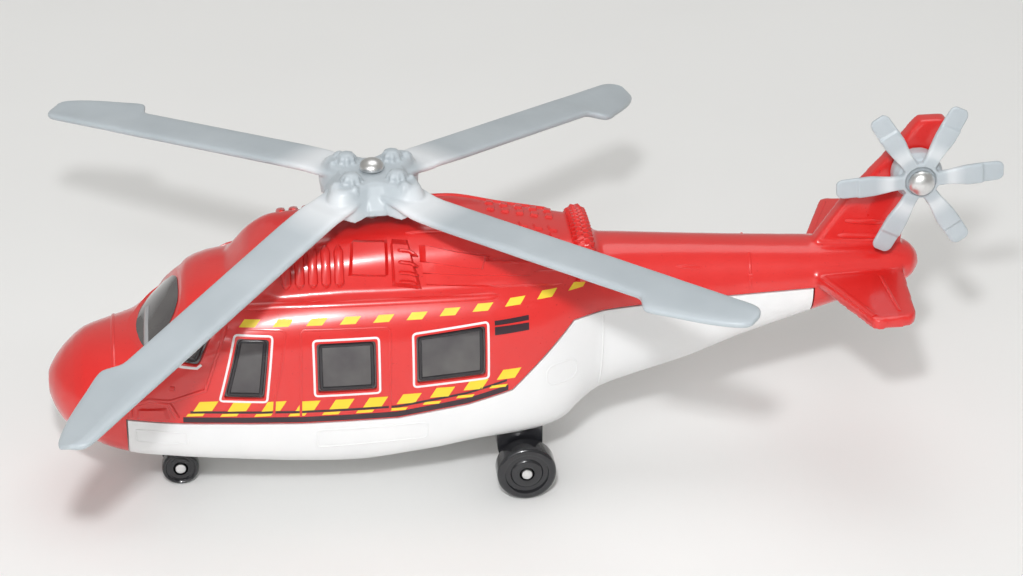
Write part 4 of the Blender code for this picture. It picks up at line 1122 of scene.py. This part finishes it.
bm = bmesh.new()
add_tube(bm, [hub_section(z, lo, hi) for z, lo, hi in (
    (HUB_FOOT_Z + 0.4, 2.0, 2.0), (HUB_FOOT_Z - 0.35, 6.0, 7.6), (HUB_FOOT_Z - 0.45, 6.3, 8.2),
    (HUB_FOOT_Z + 0.4, 6.1, 8.6), (HUB_FOOT_Z + 1.8, 5.1, 8.4), (HUB_FOOT_Z + 2.9, 4.1, 7.8),
    (HUB_DECK_Z, 3.5, 7.2), (HUB_DECK_Z, 1.2, 1.2))])
for k in range(4):
    angle = 45.0 + ROTOR_PHASE + 90.0 * k
    lift, raised, twist, longer = BLADE_SET[k]
    rotor_blade(bm, angle, tip_height(angle) + lift, raised, twist, longer)
    lobed(bm, 4.3, angle, 1.5, HUB_DECK_Z - 0.6, HUB_DECK_Z + 1.35, 8, 0.3)
    lobed(bm, 6.3, angle - 8.0, 1.15, HUB_FOOT_Z + 1.0, HUB_DECK_Z + 0.55, 7, 0.28)
    lobed(bm, 5.7, angle + 15.0, 0.85, HUB_FOOT_Z + 1.0, HUB_DECK_Z + 0.35, 6, 0.25)
    # square rib down the hub's side, midway between two blades
    mid = radians(angle + 45.0)
    across = Vector((-sin(mid), cos(mid), 0.0)) * (1.05 * MM)
    out = Vector((cos(mid), sin(mid), 0.0)) * MM
    add_tube(bm, [[at(0, 0, z) + out * d + across * e
                   for d, e in ((3.0, 1), (r, 1), (r, -1), (3.0, -1))]
                  for z, r in ((HUB_FOOT_Z - 0.3, 6.5), (HUB_FOOT_Z + 0.4, 6.4),
                               (HUB_FOOT_Z + 2.0, 5.15), (HUB_FOOT_Z + 3.1, 4.2))])
main_rotor = piece("rotor_moulding", bm)
remesh(main_rotor, 0.17, 3)
# the pale ring at the blade roots is a painted highlight on the bend
painted_bend_highlight(GREY_ROTOR, HUB, (1.0, 1.0, 0.0), 8.5, 10.5, 5.0, (0.72, 0.74, 0.76))
dress(main_rotor, GREY_ROTOR, "main_rotor", 60.0, ["main_rotor"])

# ---- tail rotor
TAIL = JOINT_AT["tail_rotor_spin"]
TAIL_LOW, TAIL_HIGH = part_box("tail_rotor")
TAIL_FACE = -TAIL_LOW.y / MM
TAIL_ROOT = -TAIL_HIGH.y / MM
TAIL_R = 11.55
TAIL_PHASE = 4.4
TAIL_THICK = 1.0
# distance out, width on the straight side, width on the bulged side, how far the face stands back
TAIL_BLADE = [(1.6, 1.05, 1.05, 0.0), (3.6, 1.1, 1.0, 0.0), (5.0, 1.3, 1.15, 0.0),
              (7.0, 1.5, 1.45, 0.0), (8.5, 1.52, 1.45, 0.0), (8.8, 1.5, 1.42, 0.28),
              (10.6, 1.45, 1.4, 0.30), (11.2, 1.25, 1.2, 0.35), (TAIL_R, 0.8, 0.8, 0.4)]


def tail_point(r, q, y, angle):
    """Point at a distance out along a tail blade, q aside, on the plane y to port."""
    ca, sa = cos(angle), sin(angle)
    return Vector((TAIL.x + (r * ca - q * sa) * MM, -y * MM, TAIL.z + (r * sa + q * ca) * MM))


bm = bmesh.new()
face, back = TAIL_FACE, TAIL_FACE - TAIL_THICK
collar = [(0.0, face - 0.45), (2.05, face - 0.45), (2.15, face), (2.5, face), (2.65, face - 0.3),
          (2.7, back), (3.0, back), (3.45, back - 0.9), (3.45, TAIL_ROOT), (0.0, TAIL_ROOT)]
bm.from_mesh(lathe("collar", [(r, -h) for r, h in collar], Vector((TAIL.x, 0.0, TAIL.z)), "Y"))
for k in range(6):
    angle = radians(TAIL_PHASE + 60.0 * k)
    rings = []
    for r in spread(2.15, 8.4, 0.4) + spread(8.5, TAIL_R, 0.12):
        left, right, step = hermite(TAIL_BLADE, r)
        ring = []
        for q in range(16):
            a = 2.0 * pi * (q + 0.5) / 16
            u, v = bent(cos(a), 0.35), 0.5 + 0.5 * bent(sin(a), 0.5)
            y = lerp(back + 0.1, face - step, v)
            ring.append(tail_point(r, u * (left if u > 0 else right), y, angle))
        rings.append(ring)
    add_tube(bm, rings)
tail_rotor = piece("tail_rotor_moulding", bm)
remesh(tail_rotor, 0.12, 3)
# the pale ring near the tail rotor's hub is a painted highlight on the bend
painted_bend_highlight(GREY_TAIL, TAIL, (1.0, 0.0, 1.0), 4.0, 4.6, 1.6, (0.62, 0.65, 0.67))
dress(tail_rotor, GREY_TAIL, "tail_rotor", 60.0, ["tail_rotor"])

# ---- stage, light and camera
floor_bm = bmesh.new()
bmesh.ops.create_grid(floor_bm, x_segments=1, y_segments=1, size=2.5)
floor = piece("floor", floor_bm)
floor.location.z = -0.02 * MM
floor.data.materials.append(finish("pale_card", (0.80, 0.80, 0.79), (0.82, 0.82, 0.81), 0.6, 60.0, 1.5,
                                   0.01))

scene = bpy.context.scene
scene.view_settings.view_transform = "Standard"
world = bpy.data.worlds.new("studio")
world.use_nodes = True
sky = world.node_tree.nodes["Background"].inputs
sky["Color"].default_value = (1.0, 0.985, 0.945, 1.0)
sky["Strength"].default_value = 0.38
scene.world = world

CAM_AIM = at(18.9, 0.0, 26.7)


def lamp(name, kind, direction, distance, energy, size):
    """A light that looks at the model from a direction; size is metres, or radians for a sun."""
    data = bpy.data.lights.new(name, kind)
    data.energy = energy
    data.color = (0.985, 0.99, 1.0)
    if kind == "AREA":
        data.shape = "DISK"
        data.size = size
    else:
        data.angle = size
    ob = bpy.data.objects.new(name, data)
    scene.collection.objects.link(ob)
    d = Vector(direction).normalized()
    ob.location = CAM_AIM + d * distance
    ob.rotation_euler = (-d).to_track_quat("-Z", "Y").to_euler()


KEY = (-0.13, -0.76, 0.64)      # found from the shadows of the blade tips
lamp("key", "AREA", KEY, 0.40, 0.86, 0.025)
lamp("key_halo", "SUN", KEY, 0.9, 0.72, radians(24.0))
lamp("front", "AREA", (-0.5, -0.8, 0.5), 0.95, 1.2, 0.7)
lamp("overhead", "AREA", (0.1, 0.35, 1.0), 0.8, 1.4, 0.6)

camera = bpy.data.cameras.new("camera")
camera.lens = 105.57
camera.sensor_width = 36.0
camera.clip_start = 0.01
cam = bpy.data.objects.new("camera", camera)
scene.collection.objects.link(cam)
azimuth, elevation, roll = (radians(v) for v in (-7.0, 29.5, 0.3))
distance = 0.412
back_axis = Vector((sin(azimuth) * cos(elevation),
                    -cos(azimuth) * cos(elevation), sin(elevation)))
cam.location = CAM_AIM + back_axis * distance
cam.rotation_mode = "QUATERNION"
cam.rotation_quaternion = (-back_axis).to_track_quat("-Z", "Y")
cam.rotation_mode = "XYZ"
cam.rotation_euler.rotate_axis("Z", roll)
scene.camera = cam
